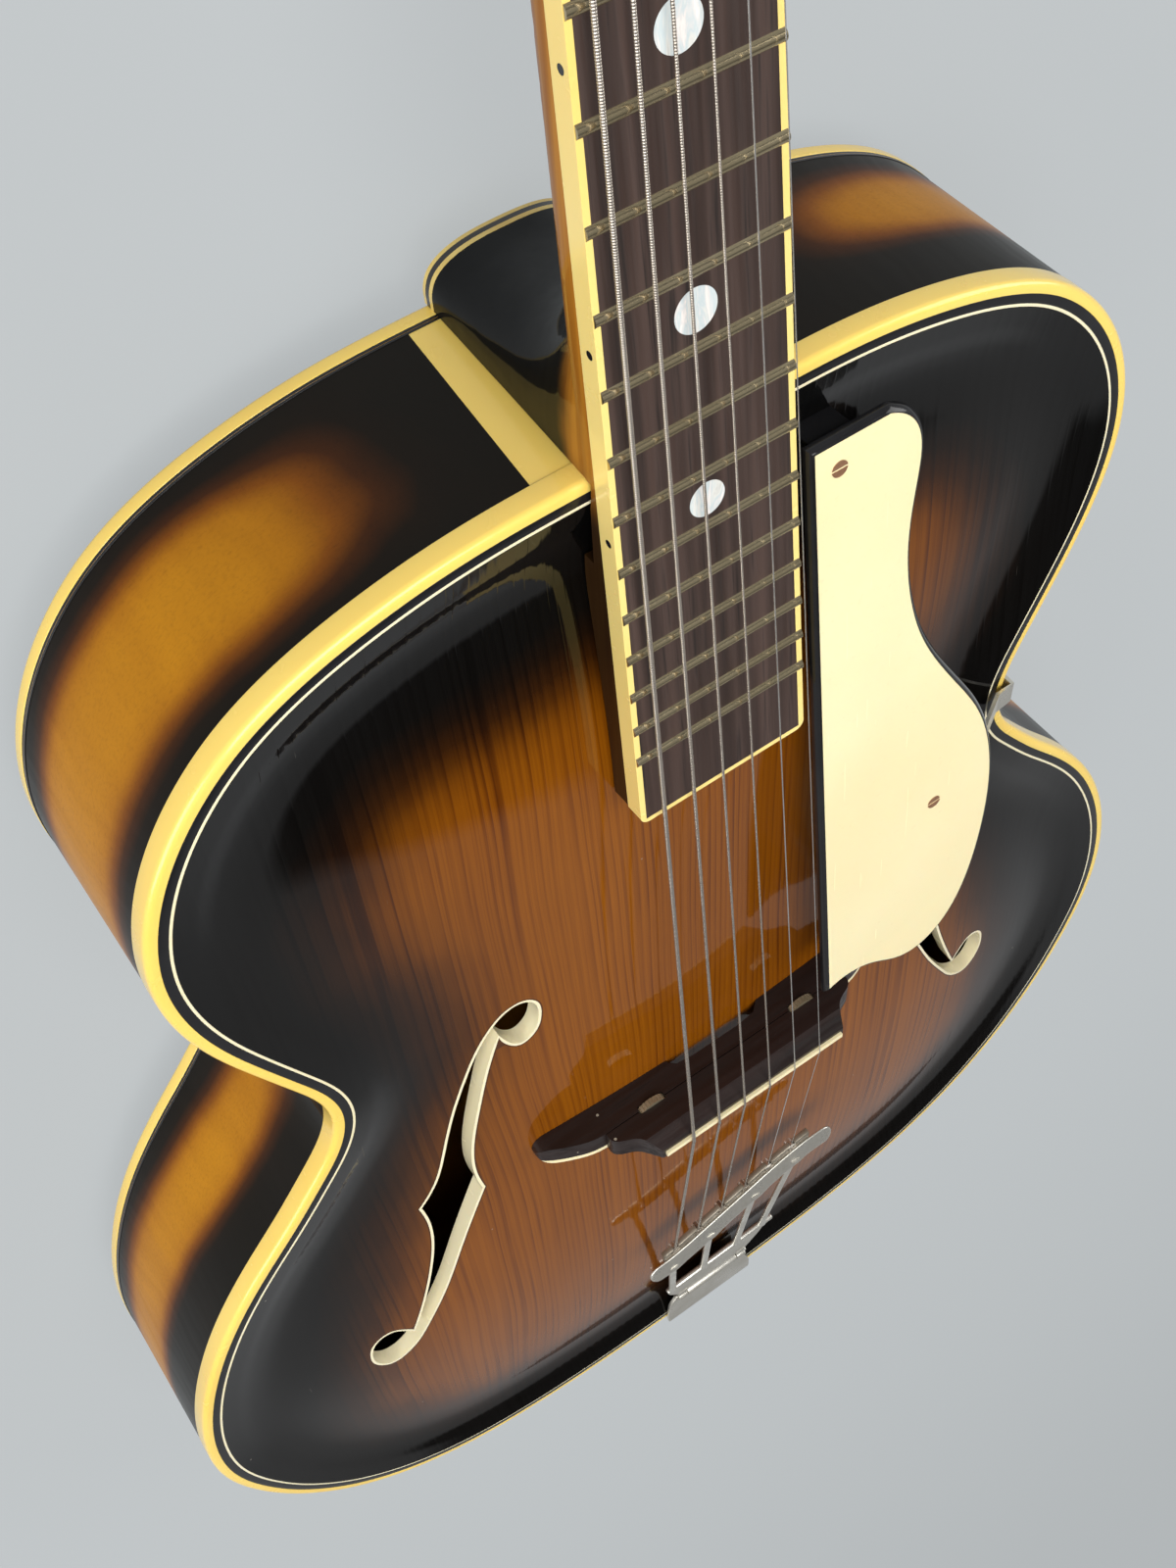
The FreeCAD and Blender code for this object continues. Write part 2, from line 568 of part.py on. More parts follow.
nodes["neck"] = neck
nodes["head_veneer"] = placed(veneer, HEAD)
nodes["tuner_bushings"] = placed(Part.makeCompound(bush), HEAD)
nodes["tuner_plate_bass"] = placed(plates[-1], HEAD)
nodes["tuner_plate_treble"] = placed(plates[1], HEAD)
for k in range(1, 7):
    nodes["tuner_key_%d" % k] = placed(keys[k], HEAD)
    nodes["tuner_post_%d" % k] = placed(posts[k], HEAD)

# ---------------------------------------------------------------- fingerboard (neck frame)
bind_w = 1.8
end_w = 1.6


def taper(y0, y1, z0, z1, off):
    pts = [V(board_half(y0) - off, y0, z0), V(board_half(y1) - off, y1, z0),
           V(-board_half(y1) + off, y1, z0), V(-board_half(y0) + off, y0, z0)]
    return Part.Face(Part.makePolygon(pts + pts[:1])).extrude(V(0, 0, z1 - z0))


whole = taper(-board_len, -0.05, wood_z + glue, -fret_h, 0.0)
corner_r = 3.0
we = board_half(-board_len)
for sign in (-1, 1):
    cpt = (sign * (we - corner_r), -board_len + corner_r)
    sq = box(min(sign * (we + 2), cpt[0]), max(sign * (we + 2), cpt[0]), -board_len - 2, cpt[1], -20, 5)
    whole = whole.cut(sq.cut(Part.makeCylinder(corner_r, 40, V(cpt[0], cpt[1], -25))))
core_board = taper(-board_len + end_w, 0.0, -20, 5, bind_w).common(whole)
board_bind = whole.cut(taper(-board_len + end_w - glue, 1.0, -20, 5, bind_w - glue))
frets = []
slots = []
for n in range(1, fret_count + 1):
    y = fret_y(n)
    w = board_half(y) - 0.15
    crown = Part.makeCylinder(1.7, 2 * w, V(-w, y, -fret_h - 0.7), V(1, 0, 0))
    crown = crown.common(box(-60, 60, y - 2, y + 2, -fret_h, 5))
    tang = box(-w + bind_w, w - bind_w, y - 0.28, y + 0.28, -fret_h - 1.6, -fret_h + 0.1)
    frets.append(crown.fuse(tang).removeSplitter())
    slots.append(box(-w + bind_w - 0.2, w - bind_w + 0.2, y - 0.3, y + 0.3, -fret_h - 1.65, 2))
dots = []
dot_cut = []
for n in (3, 5, 7, 9, 12, 15):
    y = 0.5 * (fret_y(n) + fret_y(n - 1))
    r = min(5.6, 0.5 * (fret_y(n - 1) - fret_y(n)) - 3.0)
    dots.append(Part.makeCylinder(r, 1.5, V(0, y, -fret_h - 1.5)))
    dot_cut.append(Part.makeCylinder(r + glue, 4, V(0, y, -fret_h - 1.5 - glue)))
core_board = core_board.cut(Part.makeCompound(slots)).cut(Part.makeCompound(dot_cut))
side_dots = []
side_cut = []
for n in (3, 5, 7, 9, 12, 15):
    y = 0.5 * (fret_y(n) + fret_y(n - 1))
    x = -board_half(y)
    side_dots.append(cyl(1.1, (x + 1.1, y, -fret_h - 2.6), (x + 0.02, y, -fret_h - 2.6)))
    side_cut.append(cyl(1.1 + glue, (x + 1.1 + glue, y, -fret_h - 2.6), (x - 3, y, -fret_h - 2.6)))
board_bind = board_bind.cut(Part.makeCompound(side_cut))
nodes["fingerboard"] = placed(core_board, NECK)
nodes["fingerboard_binding"] = placed(board_bind, NECK)
nodes["frets"] = placed(Part.makeCompound(frets), NECK)
nodes["position_dots"] = placed(Part.makeCompound(dots), NECK)
nodes["side_dots"] = placed(Part.makeCompound(side_dots), NECK)

# nut
nut_x = [(2.5 - k) * nut_pitch for k in range(6)]          # first string at +x
nut_floor = 0.35
nut = box(-board_w_nut / 2, board_w_nut / 2, glue, 5.0, wood_z + glue, 1.5)
for k in range(6):
    r = string_r[k]
    nut = nut.cut(box(nut_x[k] - r - 0.15, nut_x[k] + r + 0.15, -1, 6, nut_floor, 4))
nodes["nut"] = placed(nut, NECK)

# ---------------------------------------------------------------- bridge
base_t = 11.0
bz = bridge_seam


def profile_xz(pts, y0, y1):
    e = [V(bridge_x + x, y0, z) for x, z in pts]
    return Part.Face(Part.makePolygon(e + e[:1])).extrude(V(0, y1 - y0, 0))


def profile_runs(runs, y0, y1):
    """Prism over a closed outline of runs in x, z: two points give a line, more a smooth curve."""
    e = []
    for r in runs:
        p = [V(bridge_x + x, y0, z) for x, z in r]
        if len(p) == 2:
            e.append(Part.LineSegment(p[0], p[1]).toShape())
        else:
            c = Part.BSplineCurve()
            c.interpolate(p)
            e.append(c.toShape())
    return Part.Face(Part.Wire(e)).extrude(V(0, y1 - y0, 0))


def wing_curve(sign, drop=0.0):
    return [(sign * x, bz + z - drop) for x, z in [(48.5, 0), (53, 0.05), (58, -0.7), (63, -2.4), (68, -4.6), (72, -6.8), (74.4, -8.8),
                                                   (75.2, -11.2)]]


by0, by1 = bridge_y - base_t / 2, bridge_y + base_t / 2
left = wing_curve(-1)
right = wing_curve(1)
base = profile_runs([left, [left[-1], (-75.2, -8)], [(-75.2, -8), (75.2, -8)], [(75.2, -8), right[-1]], list(reversed(right)),
                     [right[0], left[0]]], by0, by1)
# ends rounded in plan
end_r = 5.2
plan = Part.makeBox(2 * (75.2 - end_r), base_t, 60, V(bridge_x - 75.2 + end_r, by0, -20))
for sign in (-1, 1):
    plan = plan.fuse(Part.makeCylinder(end_r, 60, V(bridge_x + sign * (75.2 - end_r), bridge_y + 0.3, -20)))
    plan = plan.fuse(Part.makeCylinder(end_r, 60, V(bridge_x + sign * (75.2 - end_r), bridge_y - 0.3, -20)))
base = base.common(plan)
base = base.cut(slab(top_face, 0.05, -40))
arch_pts = [(-21, -10), (-21, 5.0), (-17, 8.6), (-10, 9.4), (10, 9.4), (17, 8.6), (21, 5.0), (21, -10)]
base = base.cut(profile_xz(arch_pts, by0 - 2, by1 + 2))
trim = []
for sign in (-1, 1):
    band = wing_curve(sign, 1.2)
    band = [band, [band[-1], (sign * 80, band[-1][1])], [(sign * 80, band[-1][1]), (sign * 80, bz + 6)],
            [(sign * 80, bz + 6), (sign * 48.5, bz + 6)], [(sign * 48.5, bz + 6), band[0]]]
    cutp = profile_runs(band, by0 - 1, by0 + 2.2)
    piece = base.common(profile_runs(band, by0, by0 + 2.2 - glue))
    base = base.cut(cutp)
    trim.append(piece)
wheel_dx = 33.0
saddle_gap = move_gap
wheel_z0 = bz - 1.2
wheel_z1 = wheel_z0 + wheel_t
studs = []
wheels = {}
base_cut = []
sad_cut = []
for name, sx in (("bass", -wheel_dx), ("treble", wheel_dx)):
    cx = bridge_x + sx
    base_cut.append(cyl(stud_r + 0.01, (cx, bridge_y, 7.9), (cx, bridge_y, 40)))
    base_cut.append(cyl(wheel_r + 0.6, (cx, bridge_y, wheel_z0 - 0.4), (cx, bridge_y, 40)))
    sad_cut.append(cyl(stud_r + 0.35, (cx, bridge_y, 0), (cx, bridge_y, bz + 11.5)))
    sad_cut.append(cyl(wheel_r + 0.6, (cx, bridge_y, 0), (cx, bridge_y, wheel_z1 + 0.05)))
    st = cyl(stud_r, (cx, bridge_y, 8.0), (cx, bridge_y, bz + 7.0))
    studs.append(st)
    wh = cyl(wheel_r, (cx, bridge_y, wheel_z0), (cx, bridge_y, wheel_z1))
    nick = []
    for k in range(30):
        a = 2 * math.pi * k / 30
        nick.append(cyl(0.28, (cx + (wheel_r + 0.05) * math.cos(a), bridge_y + (wheel_r + 0.05) * math.sin(a), wheel_z0 - 1),
                        (cx + (wheel_r + 0.05) * math.cos(a), bridge_y + (wheel_r + 0.05) * math.sin(a), wheel_z1 + 1)))
    wh = wh.cut(Part.makeCompound(nick))
    wheels[name] = wh.cut(cyl(stud_r + 0.06, (cx, bridge_y, 0), (cx, bridge_y, 60)))
for c in base_cut:
    base = base.cut(c)
nodes["bridge_base"] = base
nodes["bridge_trim"] = Part.makeCompound([s for t in trim for s in t.Solids])
nodes["bridge_studs"] = Part.makeCompound(studs)
nodes["height_wheel_bass"] = wheels["bass"]
nodes["height_wheel_treble"] = wheels["treble"]


def neck_to_body(x, y, z):
    return NECK.multVec(V(x, y, z))


y_sad = -643.0
sad_top = neck_to_body(0, y_sad, saddle_rise).z
insert_h = 3.2
insert_t = 2.4
sad_z0 = bz + saddle_gap
flank = [(39.6, sad_top - 1.2), (40.6, sad_top - 3.0), (42.4, sad_z0 + 10.4), (44.2, sad_z0 + 8.0), (46.8, sad_z0 + 6.4), (49.6, sad_z0 + 5.2),
         (51.6, sad_z0 + 3.8), (52.5, sad_z0 + 1.8)]
flank_l = [(-x, z) for x, z in flank]
sad = profile_runs([[flank_l[-1], (-52.5, sad_z0)], [(-52.5, sad_z0), (52.5, sad_z0)], [(52.5, sad_z0), flank[-1]], list(reversed(flank)),
                    [flank[0], flank_l[0]], flank_l], by0 + 0.2, by1 - 0.2)
# sloping neck-side and tail-side faces towards the insert
for sign in (-1, 1):
    yy = bridge_y + sign * (base_t / 2 + 0.1)
    yt = bridge_y + sign * 2.1
    w = [V(-80, yy, sad_z0 + 9.0), V(-80, yt, sad_top + 0.5), V(-80, yy + sign * 10, sad_top + 0.5), V(-80, yy + sign * 10, sad_z0 + 9.0)]
    sad = sad.cut(Part.Face(Part.makePolygon(w + w[:1])).extrude(V(180, 0, 0)))
for c in sad_cut:
    sad = sad.cut(c)
ins = box(bridge_x - 38.6, bridge_x + 38.6, bridge_y - insert_t / 2, bridge_y + insert_t / 2, sad_top - insert_h, sad_top - 0.12)
sad = sad.cut(box(bridge_x - 38.6 - glue, bridge_x + 38.6 + glue, bridge_y - insert_t / 2 - glue, bridge_y + insert_t / 2 + glue,
                  sad_top - insert_h - glue, sad_top + 5))
nodes["bridge_saddle"] = sad
nodes["saddle_insert"] = ins

# ---------------------------------------------------------------- tailpiece
tail_y = -557.6


def along(line, x):
    """Height of a smooth line over x (cubic between its stations)."""
    n = len(line)
    for i in range(n - 1):
        if x <= line[i + 1][0] or i == n - 2:
            def slope(k):
                a, b = line[max(0, k - 1)], line[min(n - 1, k + 1)]
                return (b[1] - a[1]) / (b[0] - a[0])
            h = line[i + 1][0] - line[i][0]
            t = (x - line[i][0]) / h
            return ((2 * t ** 3 - 3 * t ** 2 + 1) * line[i][1] + (t ** 3 - 2 * t ** 2 + t) * h * slope(i)
                    + (-2 * t ** 3 + 3 * t ** 2) * line[i + 1][1] + (t ** 3 - t ** 2) * h * slope(i + 1))


def strip_plan(line, x0, x1, off_a, off_b, z0, z1, tip):
    """Flat strip that follows a line in plan, between two offsets from it, with rounded ends."""
    m = 11
    a, b = [], []
    for k in range(m):
        x = x0 + (x1 - x0) * k / (m - 1)
        y = along(line, x)
        s = (along(line, x + 0.5) - along(line, x - 0.5))
        l = math.hypot(1, s)
        a.append((x - off_a * s / l, y + off_a / l))
        b.append((x - off_b * s / l, y + off_b / l))
    mid = 0.5 * (off_a + off_b)
    ends = []
    for x, sg in ((x0, -1), (x1, 1)):
        s = (along(line, x + 0.5) - along(line, x - 0.5))
        l = math.hypot(1, s)
        ends.append((x - mid * s / l + sg * tip / l, along(line, x) + mid / l + sg * tip * s / l))
    pts = a + [ends[1]] + list(reversed(b)) + [ends[0]]
    return Part.Face(Part.Wire([closed_curve(pts, z0).toShape()])).extrude(V(0, 0, z1 - z0))


def bar_section(x, hw):
    """Cross section of the string bar: flat below, its top face sloping down towards the neck."""
    y = along(bar_line, x)
    s = along(bar_line, x + 0.5) - along(bar_line, x - 0.5)
    l = math.hypot(1, s)
    pts = [V(x - o * s / l, y + o / l, z) for o, z in ((hw, bar_z - 1.6), (hw, bar_z + 0.5 - 0.25 * hw),
                                                      (-hw, bar_z + 0.5 + 0.25 * hw), (-hw, bar_z - 1.6))]
    return Part.makePolygon(pts + pts[:1])


bar_x0, bar_x1 = -34.0, 50.0
bar_secs = [(bar_x0 - 4.5, 1.3), (bar_x0 - 3.6, 2.7), (bar_x0 - 1.9, 3.9), (bar_x0, 4.4)]
bar_secs += [(bar_x0 + (bar_x1 - bar_x0) * k / 10.0, 4.4) for k in range(1, 10)]
bar_secs += [(bar_x1, 4.4), (bar_x1 + 1.9, 3.9), (bar_x1 + 3.6, 2.7), (bar_x1 + 4.5, 1.3)]
main_bar = Part.makeLoft([bar_section(x, hw) for x, hw in bar_secs], True, False)
comb_z1 = bar_z - 1.55
comb_z0 = comb_z1 - 2.3
comb = strip_plan(bar_line, -30.0, 44.0, 9.4, -1.5, comb_z0, comb_z1, 1.5)
comb_x = [comb_mid + (2.5 - k) * comb_pitch for k in range(6)]
comb_at = [(x, along(bar_line, x) + 6.7) for x in comb_x]
for x, y in comb_at:
    comb = comb.cut(box(x - 1.2, x + 1.2, y, y + 8, comb_z0 - 2, bar_z - 1.6))
    comb = comb.cut(Part.makeCylinder(2.3, 6, V(x, y, comb_z0 - 3)))
bar = main_bar.fuse(comb)
for x, y in comb_at:
    bar = bar.cut(Part.makeCylinder(2.3, comb_z1 - comb_z0 + 1.2, V(x, y, comb_z0 - 1)))
low_a, low_b = V(tail_x - 25.0, low_y - 1.6, low_z), V(tail_x + 35.0, low_y + 2.2, low_z)
plate_pts = [V(low_a.x + 2, low_a.y, low_z - 0.9), V(low_b.x - 2, low_b.y, low_z - 0.9), V(tail_x + 27, low_y - 6, low_z - 0.9),
             V(tail_x + 19.2, hinge_y + 4.4, low_z - 0.9), V(tail_x - 19.2, hinge_y + 4.4, low_z - 0.9), V(tail_x - 24, low_y - 6, low_z - 0.9)]
frame = Part.Face(Part.makePolygon(plate_pts + plate_pts[:1])).extrude(V(0, 0, 1.5))
frame = frame.fuse(cyl(1.5, (low_a.x, low_a.y, low_a.z), (low_b.x, low_b.y, low_b.z)))
for sign in (-1, 1):
    ear = box(min(sign * 14.4, sign * 19.2), max(sign * 14.4, sign * 19.2), hinge_y, hinge_y + 6.0, low_z - 2.4, low_z + 0.9)
    ear.translate(V(tail_x, 0, 0))
    knuckle = cyl(roll_r, (tail_x + sign * 14.4, hinge_y, hinge_z), (tail_x + sign * 19.2, hinge_y, hinge_z))
    frame = frame.fuse(ear).fuse(knuckle)
for lo, hi in struts:
    t = (lo - low_a.x) / (low_b.x - low_a.x)
    p = low_a + (low_b - low_a) * t
    q = V(hi, along(bar_line, hi) - 1.5, bar_z - 0.4)
    d = q - p
    frame = frame.fuse(Part.makeCylinder(1.6, d.Length, p, d))
frame = frame.fuse(bar)
frame = frame.cut(cyl(pin_r + glue, (tail_x - 40, hinge_y, hinge_z), (tail_x + 40, hinge_y, hinge_z)))
nodes["tailpiece_frame"] = frame
roll = cyl(roll_r, (tail_x - 14.1, hinge_y, hinge_z), (tail_x + 14.1, hinge_y, hinge_z))
h_t = 1.8
y_face = tail_y - 0.15
arm_z = hinge_z - roll_r
arm_pts = [V(tail_x - 14.1, hinge_y, arm_z), V(tail_x - 14.1, hinge_y - 3.0, arm_z), V(tail_x - 19.5, hinge_y - 5.5, arm_z),
           V(tail_x - 22.8, hinge_y - 12, arm_z), V(tail_x - 24, hinge_y - 22, arm_z), V(tail_x - 24, y_face - h_t, arm_z),
           V(tail_x + 24, y_face - h_t, arm_z), V(tail_x + 24, hinge_y - 22, arm_z), V(tail_x + 21.5, hinge_y - 14, arm_z),
           V(tail_x + 17.5, hinge_y - 6.5, arm_z), V(tail_x + 14.1, hinge_y - 3.0, arm_z), V(tail_x + 14.1, hinge_y, arm_z)]
arm = Part.Face(Part.makePolygon(arm_pts + arm_pts[:1])).extrude(V(0, 0, h_t))
face_pts = [V(tail_x - 24, y_face, arm_z + h_t), V(tail_x + 24, y_face, arm_z + h_t), V(tail_x + 22, y_face, -18),
            V(tail_x + 11, y_face, -54), V(tail_x - 11, y_face, -54), V(tail_x - 22, y_face, -18)]
face_plate = Part.Face(Part.makePolygon(face_pts + face_pts[:1])).extrude(V(0, -h_t, 0))
hanger = roll.fuse(arm).fuse(face_plate)
hanger = hanger.cut(cyl(pin_r + glue, (tail_x - 40, hinge_y, hinge_z), (tail_x + 40, hinge_y, hinge_z)))
pin_z = -36.0
hanger = hanger.cut(cyl(4.0 + glue, (tail_x, y_face - 5, pin_z), (tail_x, y_face + 5, pin_z)))
h_screws = [(tail_x - 12, -16.0), (tail_x + 12, -16.0), (tail_x, -48.5)]
screws = []
hole = []
for sx, sz in h_screws:
    hanger = hanger.cut(cyl(1.7, (sx, y_face - 5, sz), (sx, y_face + 5, sz)))
    s = cyl(1.6, (sx, y_face - h_t - glue, sz), (sx, y_face + 22, sz))
    hd = cyl(3.2, (sx, y_face - h_t - 1.6, sz), (sx, y_face - h_t - glue, sz))
    s = s.fuse(hd).cut(box(sx - 4, sx + 4, y_face - h_t - 4, y_face - h_t - 1.0, sz - 0.35, sz + 0.35))
    screws.append(s)
    hole.append(cyl(1.6 + glue, (sx, y_face - 5, sz), (sx, y_face + 22.1, sz)))
end_pin = cyl(4.0, (tail_x, y_face - h_t - 0.05, pin_z), (tail_x, y_face + 26, pin_z))
end_pin = end_pin.fuse(cyl(end_pin_r, (tail_x, y_face - h_t - 11, pin_z), (tail_x, y_face - h_t - 0.05, pin_z)))
end_pin = end_pin.fuse(cyl(7.0, (tail_x, y_face - h_t - 15, pin_z), (tail_x, y_face - h_t - 11, pin_z)))
hole.append(cyl(4.0 + glue, (tail_x, y_face - 5, pin_z), (tail_x, y_face + 26.1, pin_z)))
for h in hole:
    for n in ("tail_block", "rib_bass", "rib_treble"):
        nodes[n] = nodes[n].cut(h)
nodes["tailpiece_hanger"] = hanger
nodes["tailpiece_pin"] = cyl(pin_r, (tail_x - 20.4, hinge_y, hinge_z), (tail_x + 20.4, hinge_y, hinge_z))
nodes["end_pin"] = end_pin
nodes["wood_screws"] = Part.makeCompound(screws + tuner_screws)

# ---------------------------------------------------------------- pickguard (neck frame)
guard_z = -3.0
guard_face_t = 0.9
guard_core_t = 2.3
g_line = [(38.8, -619.3), (31.6, -369.2), (57.5, -369.2)]
g_curve = [(57.5, -369.2), (65.2, -374.6), (69.2, -384.0), (69.2, -394.0), (67.5, -408.0), (66.9, -424.0), (69.2, -443.0),
           (74.0, -460.0), (81.0, -475.5), (89.5, -491.0), (98.6, -508.0), (105.0, -526.0), (108.2, -545.0), (108.7, -562.0),
           (107.3, -580.0), (102.8, -603.0), (96.4, -618.0), (88.2, -626.6), (78.0, -629.8), (67.5, -626.2), (58.0, -619.8),
           (49.0, -617.2), (38.8, -619.3)]


def guard_runs():
    return [[g_line[0], (36.4, -535.9), (34.0, -452.6), g_line[1]], [g_line[1], (44.5, -369.2), g_line[2]], g_curve]


core_g = Part.Face(run_wire(guard_runs(), guard_z - guard_face_t - guard_core_t)).extrude(V(0, 0, guard_core_t))
face_g = Part.Face(run_wire(inner_runs(guard_runs(), 1.7), guard_z - guard_face_t + glue)).extrude(V(0, 0, guard_face_t - glue))
g_screws = [(41.0, -379.2), (82.6, -545.5)]
g_sol = []
for sx, sy in g_screws:
    face_g = face_g.cut(Part.makeCylinder(2.6, 10, V(sx, sy, guard_z - 0.55)))
    face_g = face_g.cut(Part.makeCylinder(1.5, 10, V(sx, sy, guard_z - 5)))
    core_g = core_g.cut(Part.makeCylinder(1.5, 10, V(sx, sy, guard_z - 5)))
    s = Part.makeCylinder(2.5, 0.7, V(sx, sy, guard_z - 0.52)).fuse(Part.makeCylinder(1.4, 7.5, V(sx, sy, guard_z - 8.0)))
    s = s.cut(box(sx - 3, sx + 3, sy - 0.3, sy + 0.3, guard_z - 0.2, guard_z + 2))
    g_sol.append(s)
nodes["pickguard_core"] = placed(core_g, NECK)
nodes["pickguard_face"] = placed(face_g, NECK)
nodes["pickguard_screws"] = placed(Part.makeCompound(g_sol), NECK)
g_under = guard_z - guard_face_t - guard_core_t - glue
blk = Part.makeBox(13, 18, 40, V(34.5, -388.5, g_under - 40))
blk = blk.cut(Part.makeCylinder(1.45, 30, V(g_screws[0][0], g_screws[0][1], g_under - 5.4)))
blk = placed(blk, NECK).cut(slab(top_face, 0.03, -60))
nodes["pickguard_block"] = blk
# bent strip from under the guard down to the waist, with a foot on the rib
s2 = NECK.multVec(V(g_screws[1][0], g_screws[1][1], g_under))
x_rib = 131.0
foot_y = s2.y - 3.0
path = [(s2.x - 8, s2.z - 0.1), (s2.x + 20, s2.z - 0.1), (x_rib - 5, 3.2), (x_rib + 2.2, 2.4), (x_rib + 2.6, -20.0)]
thick = 1.3


def offset_path(pts, t):
    res = []
    for i in range(len(pts)):
        a = pts[max(0, i - 1)]
        b = pts[min(len(pts) - 1, i + 1)]
        dx, dz = b[0] - a[0], b[1] - a[1]
        l = math.hypot(dx, dz)
        res.append((pts[i][0] + t * dz / l, pts[i][1] - t * dx / l))
    return res


low = offset_path(path, thick)
poly = [V(x, s2.y - 5, z) for x, z in path] + [V(x, s2.y - 5, z) for x, z in reversed(low)]
strip = Part.Face(Part.makePolygon(poly + poly[:1])).extrude(V(0, 10, 0))
tilt = Placement(s2, Rotation(V(1, 0, 0), -neck_pitch)).multiply(Placement(s2.negative(), Rotation()))
strip = strip.cut(outline_prism(-0.25, -60, 1.2))
under_guard = placed(box(0, 140, -700, -300, g_under, g_under + 60), NECK)
strip = strip.cut(under_guard)
strip = strip.cut(placed(Part.makeCylinder(1.45, 30, V(g_screws[1][0], g_screws[1][1], g_under - 12)), NECK))
nodes["pickguard_bracket"] = strip

# ---------------------------------------------------------------- strings
sad_x = [bridge_x + (2.5 - k) * saddle_pitch for k in range(6)]
speaking = []
heads = []
tails = []
for k in range(6):
    r = string_r[k]
    a = neck_to_body(nut_x[k], 4.7, nut_floor + 0.08 + r)
    b0 = neck_to_body(nut_x[k], 0.0, nut_floor + 0.08 + r)
    e = V(sad_x[k], bridge_y, sad_top + r)
    # one straight line over the nut to the saddle
    d = (e - b0)
    d.normalize()
    start = b0 - d * 4.6
    end = b0 + d * ((e - b0).Length + 0.9)
    speaking.append(Part.makeCylinder(r, (end - start).Length, start, end - start))
    slot = V(comb_at[k][0], comb_at[k][1], comb_z1 - 1.0)
    t0 = V(sad_x[k], bridge_y, sad_top + r)
    dt = slot - t0
    dt.normalize()
    t_start = t0 + dt * 1.3
    t_end = slot
    tail = Part.makeCylinder(r, (t_end - t_start).Length, t_start, dt)
    ball = Part.makeCylinder(1.8, 3.2, V(comb_at[k][0], comb_at[k][1], comb_z1 - 3.6))
    tails.append(tail.fuse(ball))
    num = k + 1
    px, py = post_pos[num]
    side = -1 if px > 0 else 1
    rr = max(0.32, r)
    tan = V(px + side * (post_r - 0.42 + 2 * rr + r + 0.15), py, 7.6)
    h1 = HEAD.multVec(tan)
    h0 = neck_to_body(nut_x[k], 5.25, nut_floor + 0.2 + r)
    dh = h1 - h0
    dh.normalize()
    heads.append(Part.makeCylinder(r, (h1 - h0).Length, h0, dh))
nodes["strings"] = Part.makeCompound(speaking)
nodes["string_heads"] = Part.makeCompound(heads)
nodes["string_tails"] = Part.makeCompound([s for t in tails for s in t.Solids])

# ---------------------------------------------------------------- into the part's frame and out
y_shift = 0.0
z_shift = 0.0
lo_y = min(s.BoundBox.YMin for n, s in nodes.items() if n == "end_pin")
hi_y = max(p.y for p in (HEAD.multVec(V(0, head_len, 0)), HEAD.multVec(V(0, head_len, veneer_t))))
lo_z = -rim_depth + back_profile[-1][1]
shift = V(0, -0.5 * (lo_y + hi_y), -lo_z)
print("shift", shift, "length", hi_y - lo_y)
for name, s in sorted(nodes.items()):
    s = s.copy()
    s.translate(shift)
    s.exportStep("parts/%s.step" % name)
    bb = s.BoundBox
    print("%-24s solids %3d valid %s vol %10.1f  x %7.1f %7.1f y %7.1f %7.1f z %7.1f %7.1f" % (
        name, len(s.Solids), s.isValid(), s.Volume, bb.XMin, bb.XMax, bb.YMin, bb.YMax, bb.ZMin, bb.ZMax))
print("nodes", len(nodes))
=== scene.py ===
import bpy, math, json
import numpy as np
from mathutils import Matrix, Vector
from mathutils.geometry import delaunay_2d_cdt


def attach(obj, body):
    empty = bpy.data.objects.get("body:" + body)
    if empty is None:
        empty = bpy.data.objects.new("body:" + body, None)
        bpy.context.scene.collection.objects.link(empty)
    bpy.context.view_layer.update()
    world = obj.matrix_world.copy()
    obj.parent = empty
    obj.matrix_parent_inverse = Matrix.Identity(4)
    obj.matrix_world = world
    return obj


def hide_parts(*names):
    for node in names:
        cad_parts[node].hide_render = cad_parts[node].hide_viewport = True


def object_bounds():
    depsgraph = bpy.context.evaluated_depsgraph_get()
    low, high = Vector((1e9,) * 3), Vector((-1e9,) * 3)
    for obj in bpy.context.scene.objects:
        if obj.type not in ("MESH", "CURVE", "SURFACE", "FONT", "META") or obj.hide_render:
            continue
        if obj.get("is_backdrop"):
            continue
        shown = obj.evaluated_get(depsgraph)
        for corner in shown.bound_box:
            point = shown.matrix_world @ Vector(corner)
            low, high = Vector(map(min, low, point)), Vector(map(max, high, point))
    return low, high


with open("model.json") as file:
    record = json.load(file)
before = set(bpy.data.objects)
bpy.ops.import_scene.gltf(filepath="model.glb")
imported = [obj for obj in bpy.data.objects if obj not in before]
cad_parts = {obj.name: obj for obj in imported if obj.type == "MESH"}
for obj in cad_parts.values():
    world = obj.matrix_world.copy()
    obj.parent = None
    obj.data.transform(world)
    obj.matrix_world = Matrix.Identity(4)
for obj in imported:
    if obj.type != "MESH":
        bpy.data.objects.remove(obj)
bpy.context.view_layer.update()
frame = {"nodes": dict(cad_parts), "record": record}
scene = bpy.context.scene
nodes = frame["nodes"]

# ------------------------------------------------------------------ frame (mm, body frame -> metres, row frame)
SHIFT = np.array([0.0, 34.15161830969913, 89.2])
neck_pitch = math.radians(3.916)
ca, sa = math.cos(neck_pitch), math.sin(neck_pitch)
scale_len = 640.0
y_join = -scale_len * (1 - 2 ** (-14 / 12.0))
z_join = -10.6


def row(p):
    return (np.asarray(p, float) + SHIFT) * 0.001


